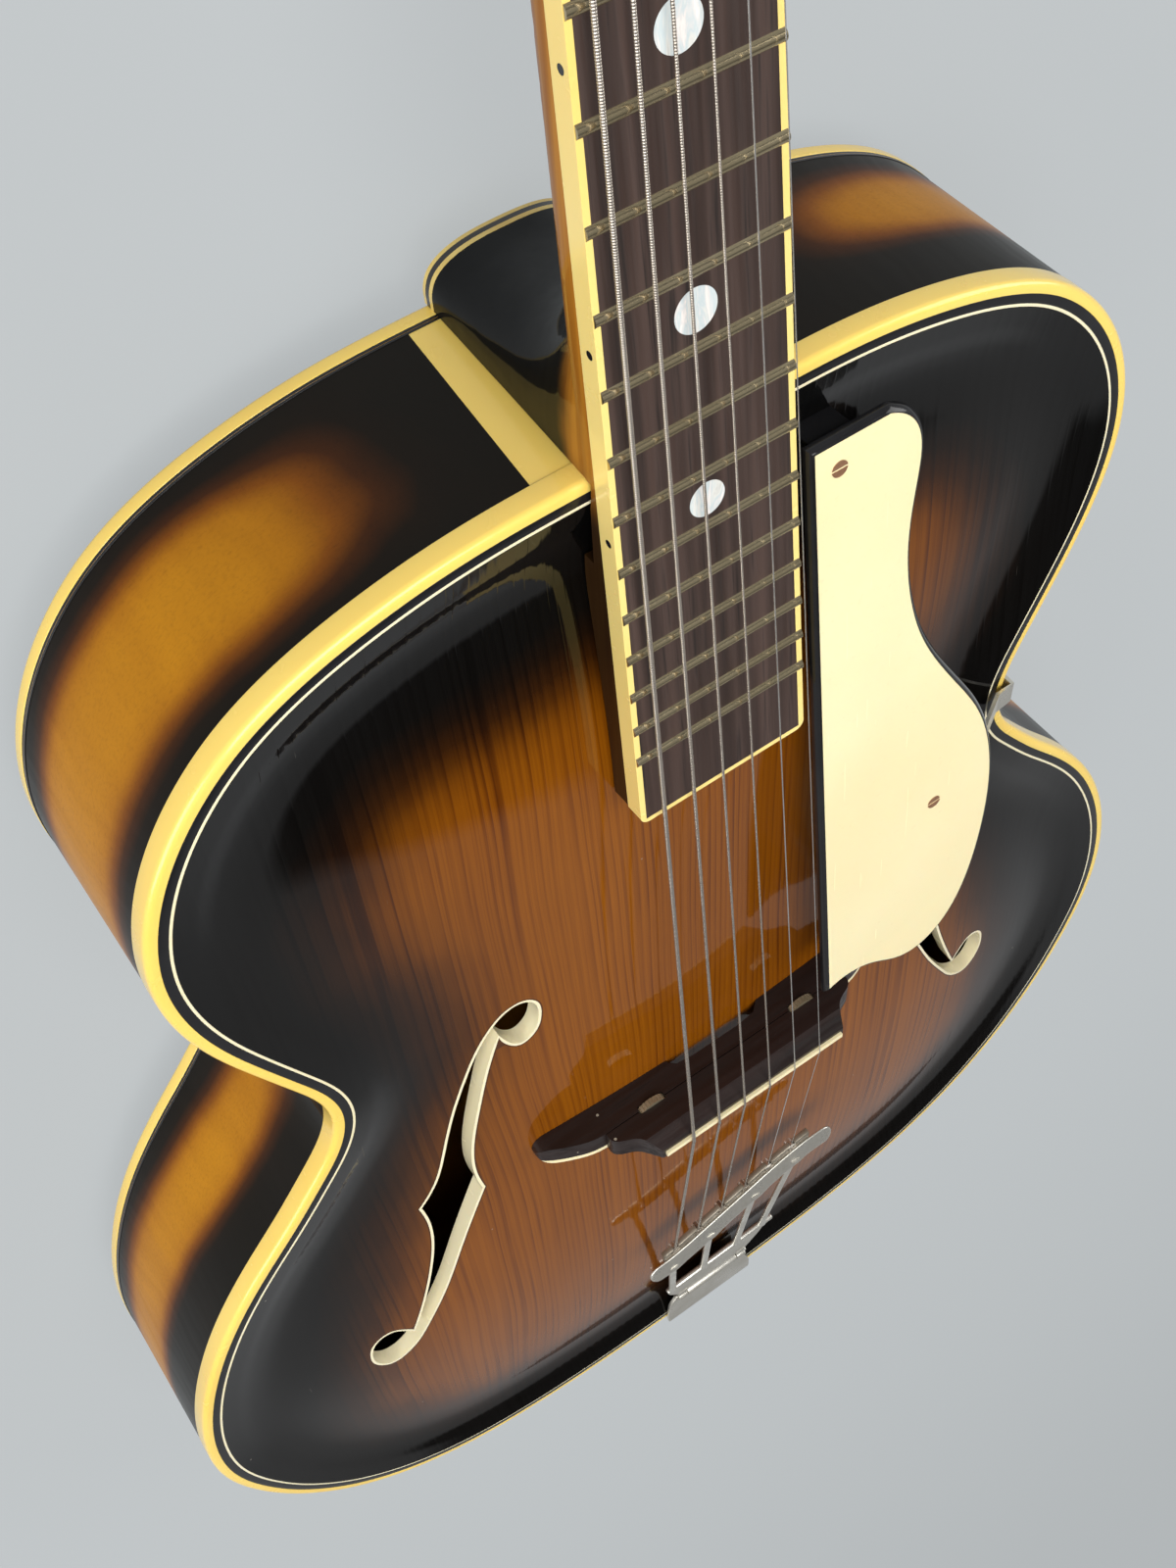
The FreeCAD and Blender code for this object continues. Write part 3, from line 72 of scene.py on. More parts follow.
def neck_to_body(p):
    p = np.atleast_2d(np.asarray(p, float))
    y, z = p[:, 1] - y_join, p[:, 2] - z_join
    return np.stack([p[:, 0], ca * y + sa * z, -sa * y + ca * z], 1)


# ------------------------------------------------------------------ outlines
half = [(0.0, 6.2), (14.0, 6.2), (28.0, 6.2), (43.0, 6.0), (62.5, 4.6), (83.0, 1.0), (102.9, -5.0),
        (121.0, -14.3), (136.6, -28.1), (148.7, -45.2), (156.7, -64.5), (160.1, -85.0), (158.7, -105.9),
        (153.6, -126.1), (146.2, -145.7), (138.4, -164.5), (132.4, -181.5), (131.3, -194.5), (135.0, -208.0),
        (144.8, -223.2), (157.4, -239.7), (170.8, -255.8), (183.4, -272.5), (194.3, -290.4), (203.2, -309.3),
        (210.2, -329.0), (215.1, -349.4), (217.7, -370.1), (217.8, -391.1), (215.0, -411.8), (209.9, -432.0),
        (203.0, -452.0), (194.0, -471.3), (183.2, -489.4), (170.3, -505.8), (155.6, -520.0), (139.6, -531.4),
        (122.5, -540.2), (103.4, -546.8), (83.2, -551.4), (62.6, -554.5), (41.8, -556.4), (20.9, -557.3),
        (0.0, -557.6)]
top_profile = [(0, 0), (8.5, 0), (13, -0.9), (20, -2.8), (28, -3.9), (37, -3.7), (50, -2.2), (70, 0.4),
               (92, 2.7), (118, 4.6), (150, 5.8), (190, 6.2), (260, 6.2)]
back_profile = [(0, 0), (8.5, 0), (16, 0.5), (26, 0.2), (40, -2.0), (62, -6.0), (88, -10.0), (118, -13.2),
                (150, -14.7), (190, -15.2), (260, -15.2)]
f_runs = [[(-73.6, -207.2), (-71.4, -213.6), (-67.0, -217.6), (-62.0, -214.8), (-58.6, -205.6), (-59.4, -196.8),
           (-63.6, -192.6), (-69.4, -193.2), (-75.2, -198.2), (-81.4, -207.6), (-87.9, -221.4), (-95.0, -238.6),
           (-101.9, -259.0), (-107.6, -273.6), (-115.4, -284.5)],
          [(-115.4, -284.5), (-114.3, -296.0), (-115.0, -308.0), (-118.9, -327.2), (-125.6, -350.3), (-132.8, -370.6)],
          [(-132.8, -370.6), (-136.4, -365.4), (-141.6, -361.6), (-147.6, -364.4), (-151.2, -374.0), (-150.0, -385.4),
           (-144.2, -391.6), (-136.0, -387.6), (-127.6, -375.2), (-116.3, -352.3), (-106.1, -327.0), (-98.4, -309.0),
           (-91.2, -293.4)],
          [(-91.2, -293.4), (-92.5, -279.0), (-90.9, -264.5), (-85.5, -244.0), (-79.6, -224.3), (-73.6, -207.2)]]


def spline(points, closed=False, sub=16):
    """Dense points on the cubic spline through the given ones."""
    P = np.array(points, float)
    n = len(P)
    m = n if closed else n - 1
    h = np.array([np.linalg.norm(P[(i + 1) % n] - P[i]) for i in range(m)])
    A = np.zeros((n, n))
    R = np.zeros((n, P.shape[1]))
    for i in range(n):
        if closed or 0 < i < n - 1:
            a, b = h[i - 1], h[i]
            A[i, (i - 1) % n] += a
            A[i, i] += 2 * (a + b)
            A[i, (i + 1) % n] += b
            R[i] = 6 * ((P[(i + 1) % n] - P[i]) / b - (P[i] - P[i - 1]) / a)
        else:
            A[i, i] = 1.0
            A[i, 1 if i == 0 else n - 2] = -0.6
    M = np.linalg.solve(A, R)
    out = []
    for i in range(m):
        j = (i + 1) % n
        for k in range(sub):
            t = k / sub * h[i]
            u = h[i] - t
            out.append((M[i] * u ** 3 + M[j] * t ** 3) / (6 * h[i]) + (P[i] / h[i] - M[i] * h[i] / 6) * u
                       + (P[j] / h[i] - M[j] * h[i] / 6) * t)
    if not closed:
        out.append(P[-1])
    return np.array(out)


def resample(P, n, closed=False):
    Q = np.vstack([P, P[:1]]) if closed else P
    s = np.concatenate([[0], np.cumsum(np.linalg.norm(np.diff(Q, axis=0), axis=1))])
    t = np.linspace(0, s[-1], n + 1)[:-1] if closed else np.linspace(0, s[-1], n)
    return np.stack([np.interp(t, s, Q[:, k]) for k in range(Q.shape[1])], 1)


def turn_normals(P):
    """Unit normals of a closed loop, pointing out of it."""
    t = np.roll(P, -1, 0) - np.roll(P, 1, 0)
    n = np.stack([t[:, 1], -t[:, 0]], 1)
    n /= np.linalg.norm(n, axis=1)[:, None]
    area = np.sum(P[:, 0] * np.roll(P[:, 1], -1) - np.roll(P[:, 0], -1) * P[:, 1])
    return n if area > 0 else -n


full = half + [(-x, y) for x, y in reversed(half[1:-1])]
N_OUT = 720
outline = resample(spline(full, True, 24), N_OUT, True)
out_n = turn_normals(outline)
arc_step = np.linalg.norm(np.roll(outline, -1, 0) - outline, axis=1)
arc = np.concatenate([[0], np.cumsum(arc_step)[:-1]])
arc_len = float(arc_step.sum())


def inset(d):
    return outline - d * out_n


def edge_distance(Q):
    """Signed distance to the outline: positive inside the body."""
    Q = np.asarray(Q, float)
    A = outline
    B = np.roll(outline, -1, 0)
    D = B - A
    L2 = (D ** 2).sum(1)
    res = np.empty(len(Q))
    for s in range(0, len(Q), 2000):
        q = Q[s:s + 2000]
        w = q[:, None, :] - A[None]
        t = np.clip((w * D[None]).sum(2) / L2[None], 0, 1)
        e = w - t[..., None] * D[None]
        best = np.sqrt((e ** 2).sum(2).min(1))
        cond = (A[None, :, 1] > q[:, None, 1]) != (B[None, :, 1] > q[:, None, 1])
        dy = np.where(D[:, 1] == 0, 1e-9, D[:, 1])
        xc = A[None, :, 0] + (q[:, None, 1] - A[None, :, 1]) * (D[:, 0] / dy)[None]
        inside = (np.sum(cond & (q[:, None, 0] < xc), axis=1) % 2) == 1
        res[s:s + 2000] = np.where(inside, best, -best)
    return res


def table(profile, d):
    """Smooth curve through the (distance, height) stations."""
    x = np.array([p[0] for p in profile], float)
    y = np.array([p[1] for p in profile], float)
    m = np.zeros(len(x))
    m[1:-1] = (y[2:] - y[:-2]) / (x[2:] - x[:-2])
    d = np.clip(d, x[0], x[-1] - 1e-6)
    i = np.clip(np.searchsorted(x, d, side="right") - 1, 0, len(x) - 2)
    h = x[i + 1] - x[i]
    t = (d - x[i]) / h
    return ((2 * t ** 3 - 3 * t ** 2 + 1) * y[i] + (t ** 3 - 2 * t ** 2 + t) * h * m[i]
            + (-2 * t ** 3 + 3 * t ** 2) * y[i + 1] + (t ** 3 - t ** 2) * h * m[i + 1])


GX0, GY0, GSTEP, GNX, GNY = -231.0, -573.0, 3.0, 155, 199
ggx = GX0 + GSTEP * np.arange(GNX)
ggy = GY0 + GSTEP * np.arange(GNY)
gxx, gyy = np.meshgrid(ggx, ggy, indexing="ij")
gd = edge_distance(np.stack([gxx.ravel(), gyy.ravel()], 1)).reshape(GNX, GNY)


def smoothstep(a, b, x):
    t = np.clip((np.asarray(x, float) - a) / (b - a), 0, 1)
    return t * t * (3 - 2 * t)


def arched(profile):
    h = table(profile, np.maximum(gd, 0))
    w = smoothstep(40, 58, gd)
    for _ in range(56):
        g = np.pad(h, 1, mode="edge")
        g = (g[:-2] + 2 * g[1:-1] + g[2:]) / 4
        g = (g[:, :-2] + 2 * g[:, 1:-1] + g[:, 2:]) / 4
        h = h + w * (g - h)
    return h


def cubic_sample(grid, Q):
    u = (np.asarray(Q)[:, 0] - GX0) / GSTEP
    v = (np.asarray(Q)[:, 1] - GY0) / GSTEP
    i = np.clip(np.floor(u).astype(int), 1, GNX - 3)
    j = np.clip(np.floor(v).astype(int), 1, GNY - 3)
    a, b = u - i, v - j

    def w(t):
        return [(-t + 2 * t ** 2 - t ** 3) / 2, (2 - 5 * t ** 2 + 3 * t ** 3) / 2, (t + 4 * t ** 2 - 3 * t ** 3) / 2,
                (-t ** 2 + t ** 3) / 2]
    wa, wb = w(a), w(b)
    r = 0
    for p in range(4):
        for q in range(4):
            r = r + wa[p] * wb[q] * grid[i + p - 1, j + q - 1]
    return r


top_grid = arched(top_profile)
back_grid = arched(back_profile)


def height(profile, grid, Q, d):
    """Exact edge profile near the rim, the smoothed crown further in."""
    k = smoothstep(38, 46, d)
    return (1 - k) * table(profile, np.maximum(d, 0)) + k * cubic_sample(grid, Q)


def top_z(Q):
    Q = np.atleast_2d(np.asarray(Q, float))
    return height(top_profile, top_grid, Q, edge_distance(Q))


def back_z(Q):
    Q = np.atleast_2d(np.asarray(Q, float))
    return -74.0 + height(back_profile, back_grid, Q, edge_distance(Q))


def face_normals(zf, Q, up):
    """Unit normals of a height field at the points."""
    h = 0.4
    gx = (zf(Q + [h, 0]) - zf(Q - [h, 0])) / (2 * h)
    gy = (zf(Q + [0, h]) - zf(Q - [0, h])) / (2 * h)
    n = np.stack([-gx, -gy, np.ones(len(Q))], 1)
    n /= np.linalg.norm(n, axis=1)[:, None]
    return n if up else -n


# ------------------------------------------------------------------ mesh making
def piece(name, verts, faces, replaces, mats, body="body", index=None, attrs=None, angle=30.0, skin=None):
    """A closed mesh from body-frame millimetres, riding a body and standing for CAD nodes.
    skin gives exact vertex normals for a plate: its first third of faces one way, the same faces behind the other way."""
    me = bpy.data.meshes.new(name)
    me.from_pydata([tuple(v) for v in row(verts)], [], [tuple(int(i) for i in f) for f in faces])
    me.update()
    for m in mats:
        me.materials.append(m)
    if index is not None:
        me.polygons.foreach_set("material_index", np.asarray(index, dtype=np.int32))
    for key, val in (attrs or {}).items():
        a = me.attributes.new(key, "FLOAT", "POINT")
        a.data.foreach_set("value", np.asarray(val, dtype=np.float32))
    me.shade_smooth()
    if angle is not None:
        me.set_sharp_from_angle(angle=math.radians(angle))
    if skin is not None:
        vn, nf = skin
        li = np.empty(len(me.loops), dtype=np.int32)
        me.loops.foreach_get("vertex_index", li)
        ln = vn[li].copy()
        ln[3 * nf:6 * nf] *= -1
        pn = np.empty(3 * len(me.polygons))
        me.polygons.foreach_get("normal", pn)
        pn = pn.reshape(-1, 3)
        ln[6 * nf:] = np.repeat(pn[2 * nf:], 4, axis=0)
        me.normals_split_custom_set([tuple(v) for v in ln])
    ob = bpy.data.objects.new(name, me)
    scene.collection.objects.link(ob)
    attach(ob, body)
    if replaces:
        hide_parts(*replaces)
    return ob


class Mesh:
    """Vertices, faces and material numbers gathered from several closed shapes."""

    def __init__(self):
        self.v, self.f, self.i = [], [], []
        self.n = 0

    def add(self, verts, faces, mat=0):
        verts = np.asarray(verts, float)
        self.v.append(verts)
        self.f += [tuple(int(i) + self.n for i in f) for f in faces]
        self.i += [mat] * len(faces)
        self.n += len(verts)
        return self

    @property
    def verts(self):
        return np.vstack(self.v)


def loop_sweep(rings, close=True):
    """Quads between closed loops of equal length; close joins the last loop to the first."""
    k = len(rings)
    n = len(rings[0])
    v = np.vstack(rings)
    f = []
    for a in range(k if close else k - 1):
        b = (a + 1) % k
        for i in range(n):
            j = (i + 1) % n
            f.append((a * n + i, a * n + j, b * n + j, b * n + i))
    return v, f


def flip(faces):
    return [tuple(reversed(f)) for f in faces]


def outward(verts, faces):
    """Faces turned so that the closed shape's volume is positive."""
    v = np.asarray(verts, float)
    vol = 0.0
    for f in faces:
        a = v[f[0]]
        for k in range(1, len(f) - 1):
            vol += np.dot(a, np.cross(v[f[k]], v[f[k + 1]]))
    return faces if vol > 0 else flip(faces)


def edge_ring(section):
    """A strip that runs round the body: section is a closed list of (inset, z)."""
    rings = []
    for d, z in section:
        p = inset(d)
        rings.append(np.column_stack([p, np.full(len(p), z)]))
    v, f = loop_sweep(rings)
    return v, outward(v, f)


def lens_section(d0, d1, z0, z1, r_out_top=0.0, r_out_low=0.0, r_in_top=0.0):
    """Rectangle (inset, z) with rounded corners."""
    pts = []

    def corner(cd, cz, r, a0, a1):
        if r <= 0:
            pts.append((cd, cz))
            return
        for k in range(6):
            a = math.radians(a0 + (a1 - a0) * k / 5)
            pts.append((cd + r * math.cos(a), cz + r * math.sin(a)))
    # d grows inwards; corners in order: outer low, outer top, inner top, inner low
    corner(d0 + r_out_low, z0 + r_out_low, r_out_low, 270, 180) if r_out_low else pts.append((d0, z0))
    corner(d0 + r_out_top, z1 - r_out_top, r_out_top, 180, 90) if r_out_top else pts.append((d0, z1))
    corner(d1 - r_in_top, z1 - r_in_top, r_in_top, 90, 0) if r_in_top else pts.append((d1, z1))
    pts.append((d1, z0))
    return pts


def plate(loops_out, loops_hole, extra, zf, thick, up):
    """Closed plate: triangles over the outline less its holes, top surface zf(Q), thickness down or up."""
    pts = []
    edges = []
    loops = []
    for lp in [loops_out] + loops_hole:
        s = len(pts)
        pts += [tuple(p) for p in lp]
        edges += [(s + i, s + (i + 1) % len(lp)) for i in range(len(lp))]
        loops.append((s, len(lp)))
    pts += [tuple(p) for p in extra]
    vo, eo, fo, ov, oe, of_ = delaunay_2d_cdt([Vector((p[0], p[1])) for p in pts], edges, [], 0, 1e-7)
    Q = np.array([(v.x, v.y) for v in vo])
    F = np.array(fo)
    C = Q[F].mean(1)

    def inside(poly, c):
        A = np.asarray(poly)
        B = np.roll(A, -1, 0)
        r = np.zeros(len(c), bool)
        for (x0, y0), (x1, y1) in zip(A, B):
            if y0 != y1:
                r ^= ((y0 > c[:, 1]) != (y1 > c[:, 1])) & (c[:, 0] < x0 + (c[:, 1] - y0) * (x1 - x0) / (y1 - y0))
        return r
    keep = inside(loops_out, C)
    for lp in loops_hole:
        keep &= ~inside(lp, C)
    F = F[keep]
    z = zf(Q)
    n = len(Q)
    a = np.column_stack([Q, z])
    b = np.column_stack([Q, z + thick])
    ar = np.cross(Q[F[:, 1]] - Q[F[:, 0]], Q[F[:, 2]] - Q[F[:, 0]])
    F = np.where((ar > 0)[:, None], F, F[:, ::-1])
    faces = []
    faces += [tuple(f) if up else tuple(f[::-1]) for f in F]
    faces += [tuple(f[::-1] + n) if up else tuple(f + n) for f in F]
    # walls along edges used once
    cnt = {}
    for f in F:
        for k in range(3):
            e = (int(f[k]), int(f[(k + 1) % 3]))
            cnt[e] = True
    for (p, q) in list(cnt):
        if (q, p) not in cnt:
            faces.append((q, p, p + n, q + n) if up else (p, q, q + n, p + n))
    used = np.unique(np.concatenate([np.array(f) for f in faces]))
    remap = -np.ones(2 * n, int)
    remap[used] = np.arange(len(used))
    V = np.vstack([a, b])[used]
    faces = [tuple(remap[list(f)]) for f in faces]
    return V, faces


def in_loop(poly, c):
    A = np.asarray(poly)
    B = np.roll(A, -1, 0)
    r = np.zeros(len(c), bool)
    for (x0, y0), (x1, y1) in zip(A, B):
        if y0 != y1:
            r ^= ((y0 > c[:, 1]) != (y1 > c[:, 1])) & (c[:, 0] < x0 + (c[:, 1] - y0) * (x1 - x0) / (y1 - y0))
    return r


def loop_gap(poly, c):
    """Distance of points to a closed polyline."""
    A = np.asarray(poly)
    B = np.roll(A, -1, 0)
    best = np.full(len(c), 1e9)
    for p, q in zip(A, B):
        d = q - p
        t = np.clip(((c - p) @ d) / max(1e-12, d @ d), 0, 1)
        e = c - p - t[:, None] * d
        best = np.minimum(best, (e ** 2).sum(1))
    return np.sqrt(best)


def moved_in(runs, d):
    """The same closed outline, given as smooth runs, moved inwards by d."""
    samp = [resample(spline(r, False, 24), 2 * len(r) + 5) for r in runs]
    loop = np.vstack([s[:-1] for s in samp])
    area = np.sum(loop[:, 0] * np.roll(loop[:, 1], -1) - np.roll(loop[:, 0], -1) * loop[:, 1])
    sg = 1.0 if area > 0 else -1.0
    u1 = loop - np.roll(loop, 1, 0)
    u2 = np.roll(loop, -1, 0) - loop
    n1 = np.stack([-u1[:, 1], u1[:, 0]], 1) / np.linalg.norm(u1, axis=1)[:, None] * sg
    n2 = np.stack([-u2[:, 1], u2[:, 0]], 1) / np.linalg.norm(u2, axis=1)[:, None] * sg
    m = n1 + n2
    m /= np.linalg.norm(m, axis=1)[:, None]
    f = np.minimum(1.6, 1.0 / np.maximum(0.3, (m * n1).sum(1)))
    mv = loop + d * f[:, None] * m
    out, at = [], 0
    for s in samp:
        out.append([tuple(mv[(at + j) % len(loop)]) for j in range(len(s))])
        at += len(s) - 1
    return out


def runs_loop(runs, counts):
    return np.vstack([resample(spline(r, False, 24), c + 1)[:-1] for r, c in zip(runs, counts)])


# ------------------------------------------------------------------ materials
class Mat:
    def __init__(self, name, rough=0.5, metal=0.0, coat=0.0, coat_rough=0.05, spec=0.5, ior=1.5, sss=0.0, coat_ior=1.5):
        self.m = bpy.data.materials.new(name)
        self.m.use_nodes = True
        self.t = self.m.node_tree
        self.b = self.t.nodes["Principled BSDF"]
        i = self.b.inputs
        i["Coat IOR"].default_value = coat_ior
        i["Roughness"].default_value = rough
        i["Metallic"].default_value = metal
        i["Coat Weight"].default_value = coat
        i["Coat Roughness"].default_value = coat_rough
        i["Specular IOR Level"].default_value = spec
        i["IOR"].default_value = ior
        if sss:
            i["Subsurface Weight"].default_value = sss
            i["Subsurface Scale"].default_value = 0.002
        self.tc = None

    def node(self, kind, **kw):
        n = self.t.nodes.new(kind)
        for k, v in kw.items():
            setattr(n, k, v)
        return n

    def put(self, socket, value):
        if hasattr(value, "is_linked") or isinstance(value, bpy.types.NodeSocket):
            self.t.links.new(value, socket)
        else:
            socket.default_value = value

    def pos(self):
        if self.tc is None:
            self.tc = self.node("ShaderNodeTexCoord")
        return self.tc.outputs["Object"]

    def attr(self, name):
        return self.node("ShaderNodeAttribute", attribute_name=name).outputs["Fac"]

    def split(self, v):
        s = self.node("ShaderNodeSeparateXYZ")
        self.put(s.inputs[0], v)
        return s.outputs

    def join(self, x, y, z):
        s = self.node("ShaderNodeCombineXYZ")
        for k, v in enumerate((x, y, z)):
            self.put(s.inputs[k], v)
        return s.outputs[0]

    def mapped(self, scale, rot=(0, 0, 0), vec=None, loc=(0, 0, 0)):
        n = self.node("ShaderNodeMapping")
        self.put(n.inputs["Vector"], vec if vec is not None else self.pos())
        n.inputs["Scale"].default_value = scale
        n.inputs["Rotation"].default_value = rot
        n.inputs["Location"].default_value = loc
        return n.outputs[0]

    def noise(self, vec, scale=1.0, detail=2.0, rough=0.5, dist=0.0):
        n = self.node("ShaderNodeTexNoise")
        self.put(n.inputs["Vector"], vec)
        n.inputs["Scale"].default_value = scale
        n.inputs["Detail"].default_value = detail
        n.inputs["Roughness"].default_value = rough
        n.inputs["Distortion"].default_value = dist
        return n.outputs["Fac"]

    def cells(self, vec, scale, feature="F1"):
        n = self.node("ShaderNodeTexVoronoi", feature=feature)
        self.put(n.inputs["Vector"], vec)
        n.inputs["Scale"].default_value = scale
        return n

    def math(self, op, a, b=0.0, c=0.0, clamp=False):
        n = self.node("ShaderNodeMath", operation=op, use_clamp=clamp)
        self.put(n.inputs[0], a)
        self.put(n.inputs[1], b)
        self.put(n.inputs[2], c)
        return n.outputs[0]

    def fit(self, v, a, b, c=0.0, d=1.0, smooth=True):
        n = self.node("ShaderNodeMapRange", interpolation_type="SMOOTHSTEP" if smooth else "LINEAR", clamp=True)
        self.put(n.inputs["Value"], v)
        n.inputs["From Min"].default_value = a
        n.inputs["From Max"].default_value = b
        n.inputs["To Min"].default_value = c
        n.inputs["To Max"].default_value = d
        return n.outputs["Result"]

    def ramp(self, fac, stops, mode="LINEAR"):
        n = self.node("ShaderNodeValToRGB")
        r = n.color_ramp
        r.interpolation = mode
        while len(r.elements) < len(stops):
            r.elements.new(0.5)
        for e, (p, c) in zip(r.elements, stops):
            e.position = p
            e.color = (c[0], c[1], c[2], 1.0)
        self.put(n.inputs["Fac"], fac)
        return n.outputs["Color"]

    def mix(self, fac, a, b, mode="MIX"):
        n = self.node("ShaderNodeMix", data_type="RGBA", blend_type=mode)
        self.put(n.inputs["Factor"], fac)
        for k, v in ((6, a), (7, b)):
            self.put(n.inputs[k], v if not isinstance(v, tuple) else (*v[:3], 1.0))
        return n.outputs[2]

    def color(self, c):
        self.put(self.b.inputs["Base Color"], c)

    def rough(self, v):
        self.put(self.b.inputs["Roughness"], v)

    def bump(self, h, strength=0.2, dist=0.0005, coat=False):
        n = self.node("ShaderNodeBump")
        n.inputs["Strength"].default_value = strength
        n.inputs["Distance"].default_value = dist
        self.put(n.inputs["Height"], h)
        self.put(self.b.inputs["Normal"], n.outputs[0])
        if coat:
            self.put(self.b.inputs["Coat Normal"], n.outputs[0])


def lin(r, g, b):
    def f(c):
        c /= 255.0
        return c / 12.92 if c <= 0.04045 else ((c + 0.055) / 1.055) ** 2.4
    return (f(r), f(g), f(b))


def specks(m, scale, size, share, seed):
    """Sparse small dots: 1 on a dot."""
    v = m.cells(m.mapped((1, 1, 1), vec=m.pos(), loc=(seed, seed * 0.7, seed * 0.3)), scale)
    dot = m.math("LESS_THAN", v.outputs["Distance"], size)
    s = m.split(v.outputs["Color"])
    return m.math("MULTIPLY", dot, m.math("GREATER_THAN", s[0], 1.0 - share))


def scratches(m, angle, length, width, thresh, seed):
    """Fine broken lines."""
    v = m.mapped((1 / width, 1 / length, 1 / length), rot=(0, 0, angle), loc=(seed, seed, 0))
    n = m.noise(v, 1.0, 1.0, 0.4)
    return m.fit(n, thresh, thresh + 0.03)


def wood_top():
    m = Mat("spruce_burst", rough=0.5, coat=0.78, coat_rough=0.045, spec=0.02)
    s = m.split(m.pos())
    wob = m.noise(m.mapped((14, 3.0, 14)), 1.0, 2, 0.5)
    x = m.math("ADD", m.math("MULTIPLY", s[0], 1000.0), m.math("MULTIPLY", wob, 16.0))
    y = m.math("MULTIPLY", s[1], 1000.0)

    def along_grain(fx, fy, z, detail, rough):
        return m.noise(m.join(m.math("MULTIPLY", x, fx), m.math("MULTIPLY", y, fy), z), 1.0, detail, rough)
    spread = m.fit(m.math("ABSOLUTE", x), 0.0, 150.0, 0.40, 0.29)
    u = m.math("ADD", m.math("MULTIPLY", x, spread), m.math("MULTIPLY", along_grain(0.11, 0.0010, 11.0, 2, 0.5), 3.0))
    saw = m.math("FRACT", u)
    each = m.noise(m.join(m.math("MULTIPLY", m.math("FLOOR", u), 3.7), m.math("MULTIPLY", y, 0.0040), 2.0), 1.0, 1, 0.5)
    ln = m.math("MULTIPLY", m.math("MULTIPLY", m.fit(saw, 0.40, 0.90), m.fit(saw, 1.0, 0.93)), m.fit(each, 0.3, 0.7, 0.35, 1.0))
    rings = ln
    saw2 = m.math("FRACT", m.math("ADD", m.math("MULTIPLY", u, 2.3), 0.3))
    thin = m.math("MULTIPLY", m.fit(saw2, 0.5, 0.9), m.fit(saw2, 1.0, 0.92))
    fine = along_grain(3.0, 0.035, 0.0, 2, 0.6)
    broad = along_grain(0.045, 0.0035, 3.0, 2, 0.5)
    fade = m.fit(along_grain(0.06, 0.012, 7.0, 2, 0.5), 0.3, 0.7, 0.35, 1.0)
    # the edge attribute is the distance into the body moved by the sprayed border, including painted shade beside the
    # neck for the neck's shadow
    d = m.attr("edge")
    dn = m.math("ADD", d, m.math("MULTIPLY", m.math("SUBTRACT", m.noise(m.mapped((22, 22, 22)), 1.0, 2, 0.5), 0.5), 12.0))
    dn = m.math("SUBTRACT", dn, m.math("MULTIPLY", ln, 2.0))
    t = m.math("DIVIDE", dn, 120.0)
    base = m.ramp(t, [(0.0, (0.0018, 0.0018, 0.0018)), (0.24, (0.0026, 0.0021, 0.0017)), (0.32, (0.0074, 0.0030, 0.0011)),
                      (0.40, (0.023, 0.0068, 0.0008)), (0.47, (0.057, 0.0160, 0.0006)), (0.54, (0.115, 0.0325, 0.0006)),
                      (0.62, (0.159, 0.0455, 0.0007)), (0.74, (0.183, 0.0525, 0.0008)), (1.0, (0.198, 0.0575, 0.0010))])
    dk = m.math("ADD", m.math("MULTIPLY", m.math("MULTIPLY", ln, 0.50), fade), m.math("MULTIPLY", thin, 0.12))
    k = m.math("SUBTRACT", m.math("ADD", m.fit(fine, 0.25, 0.75, 0.95, 1.13, False), m.fit(broad, 0.3, 0.7, -0.08, 0.12, False)), dk)
    col = m.mix(1.0, base, m.join(k, m.math("POWER", k, 1.25), m.math("POWER", k, 1.5)), "MULTIPLY")
    # lacquer gathers brown along the cut edges of the f-holes
    rim = m.fit(m.attr("rim"), 0.35, 0.75, 1.0, 0.0)
    col = m.mix(m.math("MULTIPLY", rim, 0.75), col, (0.045, 0.014, 0.003))
    dots = specks(m, 150.0, 0.055, 0.05, 3.1)
    dots2 = specks(m, 60.0, 0.03, 0.12, 7.7)
    line1 = m.math("MULTIPLY", scratches(m, 0.35, 0.022, 0.0007, 0.83, 4.0), 0.30)
    line2 = m.math("MULTIPLY", scratches(m, -1.1, 0.016, 0.0006, 0.845, 9.0), 0.30)
    marks = m.math("MAXIMUM", m.math("MAXIMUM", dots, dots2), m.math("MAXIMUM", line1, line2))
    col = m.mix(m.math("MULTIPLY", marks, 0.7), col, (0.30, 0.27, 0.23))
    m.color(col)
    m.rough(m.fit(fine, 0.2, 0.8, 0.44, 0.56))
    # the lacquer sinks a few thousandths of a millimetre along the grain
    m.bump(m.math("ADD", rings, m.math("MULTIPLY", fine, 0.25)), 1.0, 0.000012, coat=True)
    return m.m


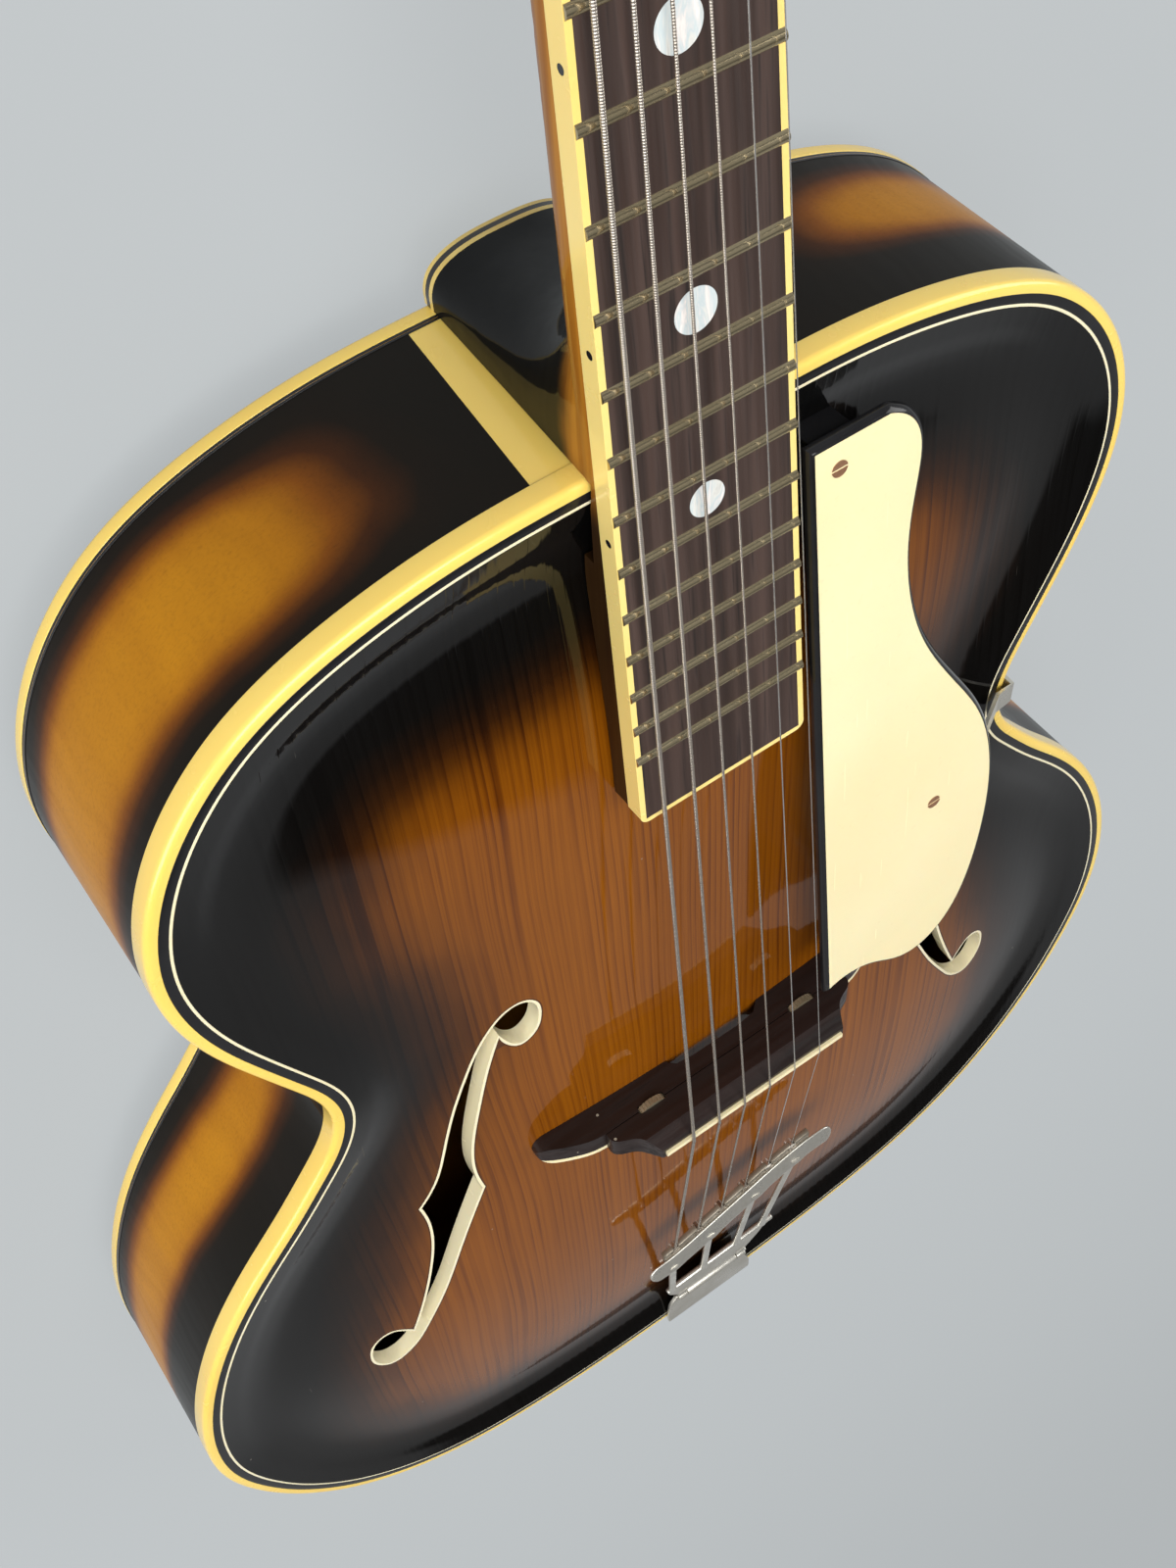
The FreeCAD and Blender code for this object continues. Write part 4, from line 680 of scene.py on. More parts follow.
def wood_figured(name, dark_attr, flame, base_light, base_mid, flame_k=1.0):
    """Curly maple under shaded lacquer; the attribute says how dark the shading is."""
    m = Mat(name, rough=0.5, coat=0.32, coat_rough=0.06, spec=0.03, coat_ior=1.42)
    f = m.attr(flame)
    s = m.split(m.pos())
    across = m.math("MULTIPLY", s[2], 9.0) if flame == "arc" else m.math("MULTIPLY", s[0], 14.0)
    u = m.math("ADD", m.math("MULTIPLY", f, 0.09), m.math("MULTIPLY", m.noise(m.mapped((22, 22, 22)), 1.0, 2, 0.5), 2.2))
    fl = m.noise(m.join(u, across, 0.0), 1.0, 2, 0.5)
    fl2 = m.noise(m.join(m.math("MULTIPLY", u, 2.7), m.math("MULTIPLY", across, 1.5), 4.0), 1.0, 2, 0.5)
    pores = m.noise(m.join(m.math("MULTIPLY", f, 0.5), m.math("MULTIPLY", s[2] if flame == "arc" else s[0], 1500.0), 0.0), 1.0, 2, 0.6)
    grit = m.noise(m.mapped((900, 900, 900)), 1.0, 2, 0.6)
    light = m.mix(m.math("MULTIPLY", m.fit(fl, 0.3, 0.72), flame_k), base_mid, base_light)
    light = m.mix(m.math("MULTIPLY", m.fit(fl2, 0.4, 0.75), 0.2 * flame_k), light, tuple(0.72 * c for c in base_mid))
    light = m.mix(m.math("MULTIPLY", m.fit(pores, 0.5, 0.8), 0.28), light, tuple(0.45 * c for c in base_mid))
    light = m.mix(m.math("MULTIPLY", m.fit(grit, 0.45, 0.8), 0.25), light, tuple(0.5 * c for c in base_mid))
    k = m.math("ADD", m.attr(dark_attr), m.math("MULTIPLY", m.math("SUBTRACT", m.noise(m.mapped((30, 30, 30)), 1.0, 2, 0.5), 0.5), 0.2))
    tint = m.ramp(k, [(0.0, (1, 1, 1)), (0.25, (0.86, 0.80, 0.75)), (0.48, (0.42, 0.30, 0.28)), (0.68, (0.10, 0.065, 0.07)),
                      (0.86, (0.016, 0.018, 0.09)), (1.0, (0.010, 0.014, 0.10))])
    col = m.mix(1.0, light, tint, "MULTIPLY")
    col = m.mix(1.0, col, (0.0012, 0.0011, 0.0011), "ADD")
    dots = specks(m, 120.0, 0.05, 0.05, 1.3)
    col = m.mix(m.math("MULTIPLY", dots, 0.6), col, (0.30, 0.28, 0.24))
    m.color(col)
    m.rough(m.fit(fl2, 0.2, 0.8, 0.44, 0.56))
    return m.m


def celluloid(name, light, deep, rough=0.22, gloss=0.5):
    """Aged cream plastic under a thin lacquer."""
    m = Mat(name, rough=rough, coat=gloss, coat_rough=0.08, spec=0.4, sss=0.12)
    a = m.noise(m.mapped((11, 11, 16)), 1.0, 2, 0.5)
    b = m.noise(m.mapped((140, 140, 140)), 1.0, 2, 0.6)
    col = m.mix(m.math("MULTIPLY", m.fit(a, 0.3, 0.75), 0.7), light, deep)
    col = m.mix(m.math("MULTIPLY", m.fit(b, 0.58, 0.85), 0.12), col, tuple(0.7 * c for c in deep))
    grime = specks(m, 170.0, 0.05, 0.03, 2.2)
    col = m.mix(m.math("MULTIPLY", grime, 0.55), col, (0.16, 0.09, 0.03))
    m.b.inputs["Subsurface Radius"].default_value = (1.0, 0.7, 0.3)
    m.color(col)
    m.rough(m.fit(b, 0.2, 0.8, rough - 0.03, rough + 0.07))
    return m.m


def black_plastic(name, base=(0.008, 0.008, 0.009), rough=0.24):
    m = Mat(name, rough=rough, coat=0.22, coat_rough=0.08, spec=0.3)
    a = m.noise(m.mapped((60, 60, 60)), 1.0, 3, 0.6)
    m.color(m.mix(m.fit(a, 0.3, 0.8), base, tuple(1.5 * c for c in base)))
    m.rough(m.fit(a, 0.3, 0.8, rough - 0.03, rough + 0.05))
    return m.m


def metal(name, light, deep, rough=0.28, spread=0.16, scale=90.0, stretch=(1, 1, 1), stain=(0.25, 0.2, 0.14), stain_k=0.35, pure=1.0, grit=True):
    m = Mat(name, rough=rough, metal=pure)
    a = m.noise(m.mapped(tuple(scale * s for s in stretch)), 1.0, 4, 0.6)
    b = m.noise(m.mapped((900, 900, 900)), 1.0, 2, 0.6)
    c = m.noise(m.mapped((260, 260, 260)), 1.0, 3, 0.6)
    col = m.mix(m.fit(a, 0.3, 0.7), light, deep)
    col = m.mix(m.math("MULTIPLY", m.fit(c, 0.55, 0.8), stain_k), col, stain)
    m.color(col)
    if grit:
        m.rough(m.math("ADD", m.fit(a, 0.3, 0.75, rough - 0.5 * spread, rough + spread), m.fit(b, 0.3, 0.8, -0.04, 0.06), clamp=True))
        m.bump(b, 0.05, 0.0001)
    else:
        m.rough(m.fit(a, 0.3, 0.75, rough - 0.5 * spread, rough + spread))
    return m.m


def dark_wood(name, light, deep, rough=0.5, coat=0.0, grain=(700, 9, 120), flecks=0.0, spec=0.4):
    """Open-pored dark wood with its grain along one axis."""
    m = Mat(name, rough=rough, coat=coat, coat_rough=0.12, spec=spec)
    a = m.noise(m.mapped(tuple(0.22 * g for g in grain)), 1.0, 3, 0.55)
    b = m.noise(m.mapped(grain), 1.0, 2, 0.6)
    col = m.mix(m.fit(a, 0.3, 0.7), deep, light)
    pore = m.fit(b, 0.56, 0.74)
    col = m.mix(m.math("MULTIPLY", pore, 0.7), col, tuple(0.22 * c for c in deep))
    if flecks:
        sp = m.math("MAXIMUM", specks(m, 190.0, 0.10, flecks, 5.0), specks(m, 420.0, 0.12, flecks, 9.0))
        col = m.mix(m.math("MULTIPLY", sp, 0.7), col, (0.42, 0.38, 0.30))
    m.color(col)
    m.rough(m.fit(b, 0.3, 0.75, rough - 0.1, rough + 0.2))
    m.bump(b, 0.12, 0.0003)
    return m.m


def bare_wood():
    m = Mat("bare_spruce", rough=0.7, spec=0.25)
    a = m.noise(m.mapped((420, 10, 420)), 1.0, 3, 0.6)
    col = m.mix(m.fit(a, 0.3, 0.7), (0.50, 0.33, 0.16), (0.36, 0.21, 0.09))
    m.color(col)
    m.bump(a, 0.1, 0.0003)
    return m.m


def pearl():
    m = Mat("pearl", rough=0.2, coat=0.6, coat_rough=0.05, spec=0.6)
    a = m.noise(m.mapped((330, 60, 330), rot=(0, 0, 0.5)), 1.0, 3, 0.6, 0.9)
    col = m.ramp(a, [(0.25, (0.42, 0.43, 0.42)), (0.40, (0.74, 0.74, 0.70)), (0.50, (0.56, 0.64, 0.66)), (0.60, (0.80, 0.75, 0.72)),
                     (0.76, (0.86, 0.86, 0.82))])
    m.color(col)
    m.rough(m.fit(a, 0.3, 0.7, 0.16, 0.3))
    m.bump(a, 0.05, 0.0003)
    return m.m


def neck_wood():
    """Lacquered maple, shaded to black over the heel."""
    m = Mat("neck_lacquer", rough=0.5, coat=0.42, coat_rough=0.05, spec=0.03, coat_ior=1.42)
    s = m.split(m.pos())
    g1 = m.noise(m.join(m.math("MULTIPLY", s[0], 260), m.math("MULTIPLY", s[1], 5), m.math("MULTIPLY", s[2], 260)), 1.0, 3, 0.55)
    g2 = m.noise(m.join(m.math("MULTIPLY", s[0], 90), m.math("MULTIPLY", s[1], 2), m.math("MULTIPLY", s[2], 90)), 1.0, 2, 0.5)
    light = m.mix(m.fit(g1, 0.3, 0.7), (0.42, 0.175, 0.018), (0.26, 0.088, 0.008))
    light = m.mix(m.math("MULTIPLY", m.fit(g2, 0.4, 0.7), 0.4), light, (0.30, 0.105, 0.014))
    # depth below the glue line of the fingerboard, and place along the neck
    yb = m.math("SUBTRACT", m.math("MULTIPLY", s[1], 1000.0), float(SHIFT[1]))
    zb = m.math("SUBTRACT", m.math("MULTIPLY", s[2], 1000.0), float(SHIFT[2]))
    glue_z = m.math("SUBTRACT", 3.6, m.math("MULTIPLY", yb, sa / ca))
    depth = m.math("SUBTRACT", glue_z, zb)
    wob = m.math("MULTIPLY", m.math("SUBTRACT", m.noise(m.mapped((60, 60, 60)), 1.0, 2, 0.5), 0.5), 5.0)
    depth = m.math("ADD", depth, wob)
    k = m.math("MULTIPLY", m.fit(depth, 7.0, 15.0), m.fit(yb, 104.0, 62.0))
    k = m.math("MAXIMUM", k, m.math("MULTIPLY", m.fit(yb, 14.0, -8.0), 0.93))
    col = m.mix(k, light, (0.0026, 0.0026, 0.0027))
    head = m.fit(yb, 352.0, 372.0)
    col = m.mix(m.math("MULTIPLY", head, 0.82), col, (0.02, 0.008, 0.004))
    dots = specks(m, 150.0, 0.055, 0.05, 2.9)
    col = m.mix(m.math("MULTIPLY", dots, 0.7), col, (0.34, 0.31, 0.27))
    m.color(col)
    m.rough(m.fit(g1, 0.2, 0.8, 0.44, 0.56))
    return m.m


def layered_cap():
    """Heel cap glued from cream, black and cream sheets."""
    m = Mat("heel_cap_layers", rough=0.24, coat=0.5, coat_rough=0.08, spec=0.4)
    s = m.split(m.pos())
    zb = m.math("SUBTRACT", m.math("MULTIPLY", s[2], 1000.0), float(SHIFT[2]))
    t = m.fit(zb, -74.0, -69.8, 0.0, 1.0, False)
    n = m.noise(m.mapped((80, 80, 80)), 1.0, 3, 0.5)
    cream = m.mix(m.fit(n, 0.3, 0.7), (0.74, 0.56, 0.17), (0.62, 0.42, 0.10))
    dark = m.mix(n, (0.010, 0.009, 0.008), (0.03, 0.024, 0.02))
    k = m.math("MULTIPLY", m.fit(t, 0.27, 0.29), m.fit(t, 0.67, 0.65))
    m.color(m.mix(k, cream, dark))
    m.rough(m.fit(n, 0.2, 0.8, 0.18, 0.34))
    return m.m


def wound(name, base, deep, pitch):
    """Wound string: fine turns across its length."""
    m = Mat(name, rough=0.36, metal=0.82)
    s = m.split(m.pos())
    w = m.math("SINE", m.math("MULTIPLY", s[1], 2 * math.pi / pitch))
    n = m.noise(m.mapped((60, 60, 60)), 1.0, 2, 0.5)
    col = m.mix(m.fit(w, -1.0, 0.4), deep, base)
    m.color(m.mix(m.math("MULTIPLY", m.fit(n, 0.5, 0.75), 0.25), col, (0.42, 0.36, 0.29)))
    m.bump(w, 0.4, 0.0001)
    m.rough(m.fit(n, 0.3, 0.7, 0.2, 0.28))
    return m.m


def guard_cream():
    m = Mat("guard_cream", rough=0.2, coat=0.35, coat_rough=0.07, spec=0.45, sss=0.1)
    a = m.noise(m.mapped((9, 9, 9)), 1.0, 3, 0.5)
    b = m.noise(m.mapped((420, 420, 420)), 1.0, 2, 0.6)
    col = m.mix(m.fit(a, 0.3, 0.7), (0.90, 0.80, 0.50), (0.86, 0.74, 0.43))
    col = m.mix(m.math("MULTIPLY", m.fit(b, 0.6, 0.8), 0.12), col, (0.6, 0.45, 0.2))
    dots = specks(m, 110.0, 0.035, 0.03, 6.1)
    col = m.mix(m.math("MULTIPLY", dots, 0.4), col, (0.3, 0.2, 0.1))
    m.color(col)
    m.rough(m.math("ADD", m.fit(b, 0.3, 0.8, 0.16, 0.26), m.math("MULTIPLY", scratches(m, 0.9, 0.03, 0.0008, 0.76, 2.0), 0.2)))
    return m.m


M_top = wood_top()
M_rib = wood_figured("maple_sides", "dark", "arc", (0.55, 0.232, 0.006), (0.43, 0.172, 0.004), 0.45)
M_back = wood_figured("maple_back", "dark", "flame", (0.38, 0.15, 0.012), (0.22, 0.078, 0.007))
M_cream = celluloid("binding_cream", (0.92, 0.66, 0.15), (0.86, 0.57, 0.10))
M_cream_f = celluloid("lining_cream", (0.88, 0.80, 0.55), (0.80, 0.70, 0.44))
M_ivory = celluloid("board_cream", (0.94, 0.73, 0.26), (0.89, 0.64, 0.17))
M_amber = celluloid("line_amber", (0.20, 0.105, 0.02), (0.14, 0.062, 0.012))
M_black = black_plastic("black_line")
M_guardedge = black_plastic("guard_edge", (0.009, 0.009, 0.010), 0.16)
M_guard = guard_cream()
M_bone = celluloid("bone", (0.88, 0.78, 0.50), (0.78, 0.64, 0.34), 0.3, 0.2)
M_nickel = metal("nickel", (0.74, 0.725, 0.665), (0.60, 0.58, 0.52), 0.32, 0.10, 45.0, stain=(0.40, 0.35, 0.27), stain_k=0.28, pure=0.8)
M_comb = metal("nickel_worn", (0.34, 0.30, 0.24), (0.22, 0.19, 0.145), 0.42, 0.14, 110.0, stain=(0.15, 0.115, 0.08), stain_k=0.5, pure=0.7)
M_steel = metal("steel", (0.72, 0.71, 0.69), (0.58, 0.56, 0.53), 0.2, 0.06, 60.0, stain_k=0.10, pure=0.85, grit=False)
M_fret = metal("fret_metal", (0.60, 0.51, 0.33), (0.47, 0.39, 0.24), 0.18, 0.03, 30.0, stain_k=0.05, pure=0.92, grit=False)
M_brass = metal("brass", (0.46, 0.40, 0.28), (0.30, 0.25, 0.16), 0.42, 0.12, 240.0, stain_k=0.3, pure=0.8)
M_bronze = metal("screw_bronze", (0.46, 0.25, 0.14), (0.30, 0.15, 0.085), 0.44, 0.14, 300.0, stain=(0.10, 0.06, 0.035), stain_k=0.5, pure=0.6)
M_wound = wound("wound_string", (0.66, 0.60, 0.53), (0.26, 0.22, 0.185), 0.00062)
M_rosewood = dark_wood("rosewood", (0.066, 0.041, 0.034), (0.026, 0.0155, 0.0125), 0.5, 0.0, (700, 7, 300))
M_ebony = dark_wood("bridge_wood", (0.020, 0.0105, 0.0088), (0.0115, 0.0065, 0.0056), 0.38, 0.12, (30, 420, 420), 0.03, 0.3)
M_veneer = dark_wood("head_black", (0.016, 0.013, 0.012), (0.008, 0.007, 0.007), 0.3, 0.9, (700, 12, 300))
M_bare = bare_wood()
M_pearl = pearl()
M_neck = neck_wood()
M_cap = layered_cap()
M_key = celluloid("key_grip", (0.84, 0.72, 0.42), (0.70, 0.54, 0.24), 0.22, 0.5)

by_slot = {"top_lacquer": M_top, "back_lacquer": M_back, "side_lacquer": M_rib, "neck_lacquer": M_neck, "bare_wood": M_bare,
           "cream_edge": M_cream, "guard_cream": M_guard, "black_line": M_black, "rosewood": M_rosewood, "ebonised_wood": M_ebony,
           "bone": M_bone, "pearl": M_pearl, "fret_metal": M_fret, "nickel": M_nickel, "brass": M_brass, "bronze": M_bronze,
           "string_steel": M_steel, "tuner_key": M_nickel}
for sub in frame["record"]["subparts"]:
    ob = nodes[sub["node"]]
    ob.data.materials.clear()
    ob.data.materials.append(by_slot[sub["material_slot"]])


def dress(node, *mats):
    me = nodes[node].data
    me.materials.clear()
    for m in mats:
        me.materials.append(m)
    return me


dress("fingerboard_binding", M_ivory)
dress("fhole_linings", M_cream_f)
dress("heel_cap", M_cap)
dress("head_veneer", M_veneer)
dress("pickguard_block", M_guardedge)
dress("bridge_trim", M_bone)
for k in range(1, 7):
    me = dress("tuner_key_%d" % k, M_nickel, M_key)
    for p in me.polygons:
        p.material_index = 1 if abs(p.center.x) > 0.0398 and p.area < 1 else 0
for nm in ("strings", "string_tails", "string_heads"):
    me = dress(nm, M_steel, M_wound)
    for p in me.polygons:
        x = p.center.x * 1000.0
        yb = p.center.y * 1000.0 - SHIFT[1]
        mid = 3.4 * max(0.0, min(1.0, (355.0 - yb) / 641.0))
        pitch = 6.6 + (11.2 - 6.6) * max(0.0, min(1.0, (355.0 - yb) / 641.0))
        p.material_index = 1 if x < mid + pitch * 1.0 else 0

# ------------------------------------------------------------------ body: top
f_counts = [110, 44, 100, 44]
f_outer = runs_loop(f_runs, f_counts)
f_inner = runs_loop(moved_in(f_runs, 1.0), f_counts)
f_holes = []
for sgn in (1, -1):
    f_holes.append((f_outer * [sgn, 1], f_inner * [sgn, 1]))

step_out = 2
rim_d = [8.1, 9.0, 10.0, 11.1, 12.3, 13.6, 15.0]
rings_d = [16.6, 18.4, 20.4, 22.8, 25.6, 28.8, 32.4, 36.4, 40.8]
extra = [inset(d) for d in rim_d]
for k, d in enumerate(rings_d):
    extra.append(inset(d)[(k % 2)::step_out])
hex_step = 4.2
hx = []
jj = 0
y = -560.0
while y < 10:
    xs = np.arange(-222.0, 222.0, hex_step) + (hex_step / 2 if jj % 2 else 0)
    hx.append(np.column_stack([xs, np.full(len(xs), y)]))
    y += hex_step * 0.866
    jj += 1
hx = np.vstack(hx)
hx = hx[edge_distance(hx) > 43.6]
extra.append(hx)
extra = np.vstack(extra)
for fo, fi in f_holes:
    g = loop_gap(fo, extra)
    extra = extra[(g > 1.6) & ~in_loop(fo, extra)]
near = []
for fo, fi in f_holes:
    nn = turn_normals(fo)
    q = (fo + 2.2 * nn)[::2]
    q = q[loop_gap(fo, q) > 1.9]
    near.append(q[~in_loop(fo, q)])
extra = np.vstack([extra] + near)
V, F = plate(inset(7.26), [f[0] for f in f_holes], extra, top_z, -4.0, True)
# the sprayed border runs smoother than the outline: wider at the bouts, narrower at the waist, and widened further
# beside the neck as painted shade for the neck's shadow on the top
border_and_neck_shadow = spline([(-600.0, 10.0), (-520.0, 10.0), (-470.0, 7.0), (-440.0, 4.0), (-415.0, -3.0), (-380.0, -13.0), (-330.0, -14.0), (-298.0, -8.0), (-268.0, 1.0),
                 (-236.0, 9.0), (-200.0, 9.5), (-165.0, 10.0), (-130.0, 8.0), (-100.0, 0.0), (-80.0, -6.0), (-55.0, -13.0), (-20.0, -16.0),
                 (30.0, -16.0)], False, 12)
# the distance fed to the sunburst carries both the real sprayed border and the painted neck shadow
shade_d = edge_distance(V[:, :2]) + np.interp(V[:, 1], border_and_neck_shadow[:, 0], border_and_neck_shadow[:, 1])
rim_gap = np.minimum(loop_gap(f_holes[0][0], V[:, :2]), loop_gap(f_holes[1][0], V[:, :2]))
half_v = len(V) // 2
# the narrow flat beside the edge lines is rubbed down into the recurve, so it takes the recurve's slope
Q = V[:half_v, :2]
d_in = edge_distance(Q)
grad = np.stack([edge_distance(Q + [0.4, 0]) - edge_distance(Q - [0.4, 0]), edge_distance(Q + [0, 0.4]) - edge_distance(Q - [0, 0.4])], 1)
grad /= np.maximum(np.linalg.norm(grad, axis=1), 1e-9)[:, None]
vn = face_normals(top_z, Q + np.maximum(0.0, 13.0 - d_in)[:, None] * grad, True)
nf = sum(1 for f in F if len(f) == 3) // 2
piece("soundboard_shell", V, F, ["soundboard"], [M_top], attrs={"edge": shade_d, "rim": rim_gap}, angle=40,
      skin=(np.vstack([vn, vn]), nf))

mesh = Mesh()
for fo, fi in f_holes:
    zo, zi = top_z(fo) - 0.01, top_z(fi) - 0.01
    rings = [np.column_stack([fo, zo]), np.column_stack([fi, zi]), np.column_stack([fi, zi - 6.0]), np.column_stack([fo, zo - 6.0])]
    v, f = loop_sweep(rings)
    mesh.add(v, outward(v, f))
piece("fhole_edges", mesh.verts, mesh.f, ["fhole_linings"], [M_cream_f], angle=40)

# ------------------------------------------------------------------ body: back
extra = [inset(d)[(k % 2)::step_out] for k, d in enumerate([5.2, 7.0] + rim_d[::2] + rings_d)] + [hx]
V, F = plate(inset(3.53)[::step_out], [], np.vstack(extra), back_z, 3.6, False)
bn = face_normals(back_z, V[:len(V) // 2, :2], False)
nf = sum(1 for f in F if len(f) == 3) // 2
dist = edge_distance(V[:, :2])
near_heel = np.hypot(V[:, 0], V[:, 1] - 6)
dark = np.maximum(1 - smoothstep(14, 62, dist), 1 - smoothstep(60, 110, near_heel))
piece("back_shell", V, F, ["back_plate"], [M_back], attrs={"dark": dark, "flame": V[:, 1] + 0.12 * np.abs(V[:, 0])}, angle=40,
      skin=(np.vstack([bn, bn]), nf))

# ------------------------------------------------------------------ body: edges
v, f = edge_ring(lens_section(0.0, 3.5, -7.0, 0.0, r_out_top=1.7, r_out_low=0.25, r_in_top=0.12))
piece("front_edge", v, f, ["front_binding"], [M_cream], angle=35)
v, f = edge_ring(lens_section(3.53, 6.3, -1.97, -0.02, r_out_top=0.1, r_in_top=0.1))
piece("front_line_black", v, f, ["front_purfling_black"], [M_black], angle=35)
v, f = edge_ring(lens_section(6.33, 7.2, -1.97, 0.0, r_out_top=0.12, r_in_top=0.12))
piece("front_line_cream", v, f, ["front_purfling_cream"], [M_cream_f], angle=35)
v, f = edge_ring(lens_section(0.0, 3.5, -74.0, -69.0, r_out_low=1.7, r_out_top=0.2))
piece("back_edge", v, f, ["back_binding"], [M_cream], angle=35)
mesh = Mesh()
zl = -68.97
for z0, z1, kind in ((0.0, 0.85, 0), (0.88, 1.06, 1), (1.09, 1.8, 0)):
    v, f = edge_ring(lens_section(0.12, 2.6, zl + z0, zl + z1, r_out_top=0.08, r_out_low=0.08))
    mesh.add(v, f, kind)
piece("back_lines", mesh.verts, mesh.f, ["back_purfling"], [M_black, M_amber], index=mesh.i, angle=35)

# ------------------------------------------------------------------ body: ribs
rib_z0, rib_z1 = -67.14, -7.03
half_n = N_OUT // 2
right_arc = arc[:half_n + 1]
right_pts = outline[:half_n + 1]
right_nrm = out_n[:half_n + 1]


def rib(sign):
    rows = 25
    cols = 420
    zs = np.linspace(rib_z0, rib_z1, rows)
    outer, inner, da, aa = [], [], [], []
    for z in zs:
        t = (z - (rib_z0 - 1)) / (rib_z1 - rib_z0 + 2)
        x_start = 31.23 + (36.43 - 31.23) * t
        s0 = np.interp(x_start, right_pts[:30, 0], right_arc[:30])
        s = np.linspace(s0, right_arc[-1] - 0.02, cols)
        p = np.stack([np.interp(s, right_arc, right_pts[:, k]) for k in range(2)], 1)
        n = np.stack([np.interp(s, right_arc, right_nrm[:, k]) for k in range(2)], 1)
        o = p - 0.3 * n
        i = p - 2.8 * n
        if sign < 0:
            o = o * [-1, 1]
            i = i * [-1, 1]
        outer.append(np.column_stack([o, np.full(cols, z)]))
        inner.append(np.column_stack([i, np.full(cols, z)]))
        v01 = (z - rib_z0) / (rib_z1 - rib_z0)
        wave = 0.03 * np.sin(s / 61.0) + 0.02 * np.sin(s / 23.0 + 1)
        up = smoothstep(-225, -165, p[:, 1]) * (1.0 if sign < 0 else 0.0)
        low = 1 - smoothstep(-0.02, 0.40 + 0.02 * up, v01 + wave)
        high = smoothstep(0.46 + 0.16 * up, 0.84 + 0.24 * up, v01 + wave)
        heel = 1 - smoothstep(40, 108, np.hypot(p[:, 0], p[:, 1] - 6))
        waist = 0.8 * np.exp(-((p[:, 1] + 193.0) / 27.0) ** 2) * smoothstep(-0.1, 0.75, v01)
        tail = 0.85 * (1 - smoothstep(20, 70, np.hypot(p[:, 0], p[:, 1] + 557)))
        da.append(1 - (1 - low) * (1 - high) * (1 - heel) * (1 - waist) * (1 - tail))
        aa.append(s)
    v = np.vstack(outer + inner)
    at = rows * cols
    f = []
    for r in range(rows - 1):
        for c in range(cols - 1):
            a = r * cols + c
            f.append((a, a + 1, a + cols + 1, a + cols))
            b = at + a
            f.append((b, b + cols, b + cols + 1, b + 1))
    for c in range(cols - 1):
        f.append((c, at + c, at + c + 1, c + 1))
        a = (rows - 1) * cols + c
        f.append((a, a + 1, at + a + 1, at + a))
    for r in range(rows - 1):
        a = r * cols
        f.append((a, a + cols, at + a + cols, at + a))
        a = r * cols + cols - 1
        f.append((a, at + a, at + a + cols, a + cols))
    return v, outward(v, f), np.tile(np.concatenate(da), 2), np.tile(np.concatenate(aa), 2)


for nm, sign in (("rib_bass", -1), ("rib_treble", 1)):
    v, f, da, aa = rib(sign)
    piece(nm + "_bent", v, f, [nm], [M_rib], attrs={"dark": da, "arc": aa}, angle=40)

# ------------------------------------------------------------------ pickguard
g_runs = [[(38.8, -619.3), (36.4, -535.9), (34.0, -452.6), (31.6, -369.2)], [(31.6, -369.2), (44.5, -369.2), (57.5, -369.2)],
          [(57.5, -369.2), (65.2, -374.6), (69.2, -384.0), (69.2, -394.0), (67.5, -408.0), (66.9, -424.0), (69.2, -443.0),
           (74.0, -460.0), (81.0, -475.5), (89.5, -491.0), (98.6, -508.0), (105.0, -526.0), (108.2, -545.0), (108.7, -562.0),
           (107.3, -580.0), (102.8, -603.0), (96.4, -618.0), (88.2, -626.6), (78.0, -629.8), (67.5, -626.2), (58.0, -619.8),
           (49.0, -617.2), (38.8, -619.3)]]
g_counts = [60, 14, 220]
guard_z = -3.0


def guard_ring(d, z):
    lp = runs_loop(moved_in(g_runs, d), g_counts) if d else runs_loop(g_runs, g_counts)
    return neck_to_body(np.column_stack([lp, np.full(len(lp), guard_z + z)]))


def capped(rings):
    """Closed solid through loops, first and last closed by a flat face."""
    v, f = loop_sweep(rings, False)
    n = len(rings[0])
    k = len(rings)
    f = f + [tuple(range(n - 1, -1, -1)), tuple(range((k - 1) * n, k * n))]
    return v, outward(v, f)


rings = [guard_ring(0.25, -3.2), guard_ring(0.0, -2.95), guard_ring(0.0, -1.75), guard_ring(0.12, -1.45), guard_ring(0.7, -0.72),
         guard_ring(1.35, -0.12), guard_ring(1.6, -0.06), guard_ring(1.66, -0.25), guard_ring(1.66, -0.92)]
v, f = capped(rings)
piece("guard_black", v, f, ["pickguard_core"], [M_guardedge], angle=32)
rings = [guard_ring(1.7, -0.87), guard_ring(1.7, -0.1), guard_ring(1.78, -0.02), guard_ring(1.95, 0.0)]
v, f = capped(rings)
piece("guard_white", v, f, ["pickguard_face"], [M_guard], angle=32)

# ------------------------------------------------------------------ tailpiece
tail_x, bar_z = 4.5, 20.6
bar_line = np.array([(-40.0, -428.9), (-28.0, -428.6), (-18.0, -426.1), (-8.0, -422.1), (7.0, -416.1), (22.0, -409.9), (33.0, -406.1),
                     (43.0, -404.1), (56.0, -404.6)])
low_y, low_z = -510.0, 4.0
hinge_y, hinge_z, roll_r = -527.6, 3.4, 2.6
struts = [(-17.6, -27.3), (0.2, -8.2), (19.0, 14.8), (33.7, 35.4)]
comb_mid, comb_pitch = 5.4, 11.95
bx, by = bar_line[:, 0], bar_line[:, 1]
bm = np.concatenate([[(by[1] - by[0]) / (bx[1] - bx[0])], (by[2:] - by[:-2]) / (bx[2:] - bx[:-2]), [(by[-1] - by[-2]) / (bx[-1] - bx[-2])]])


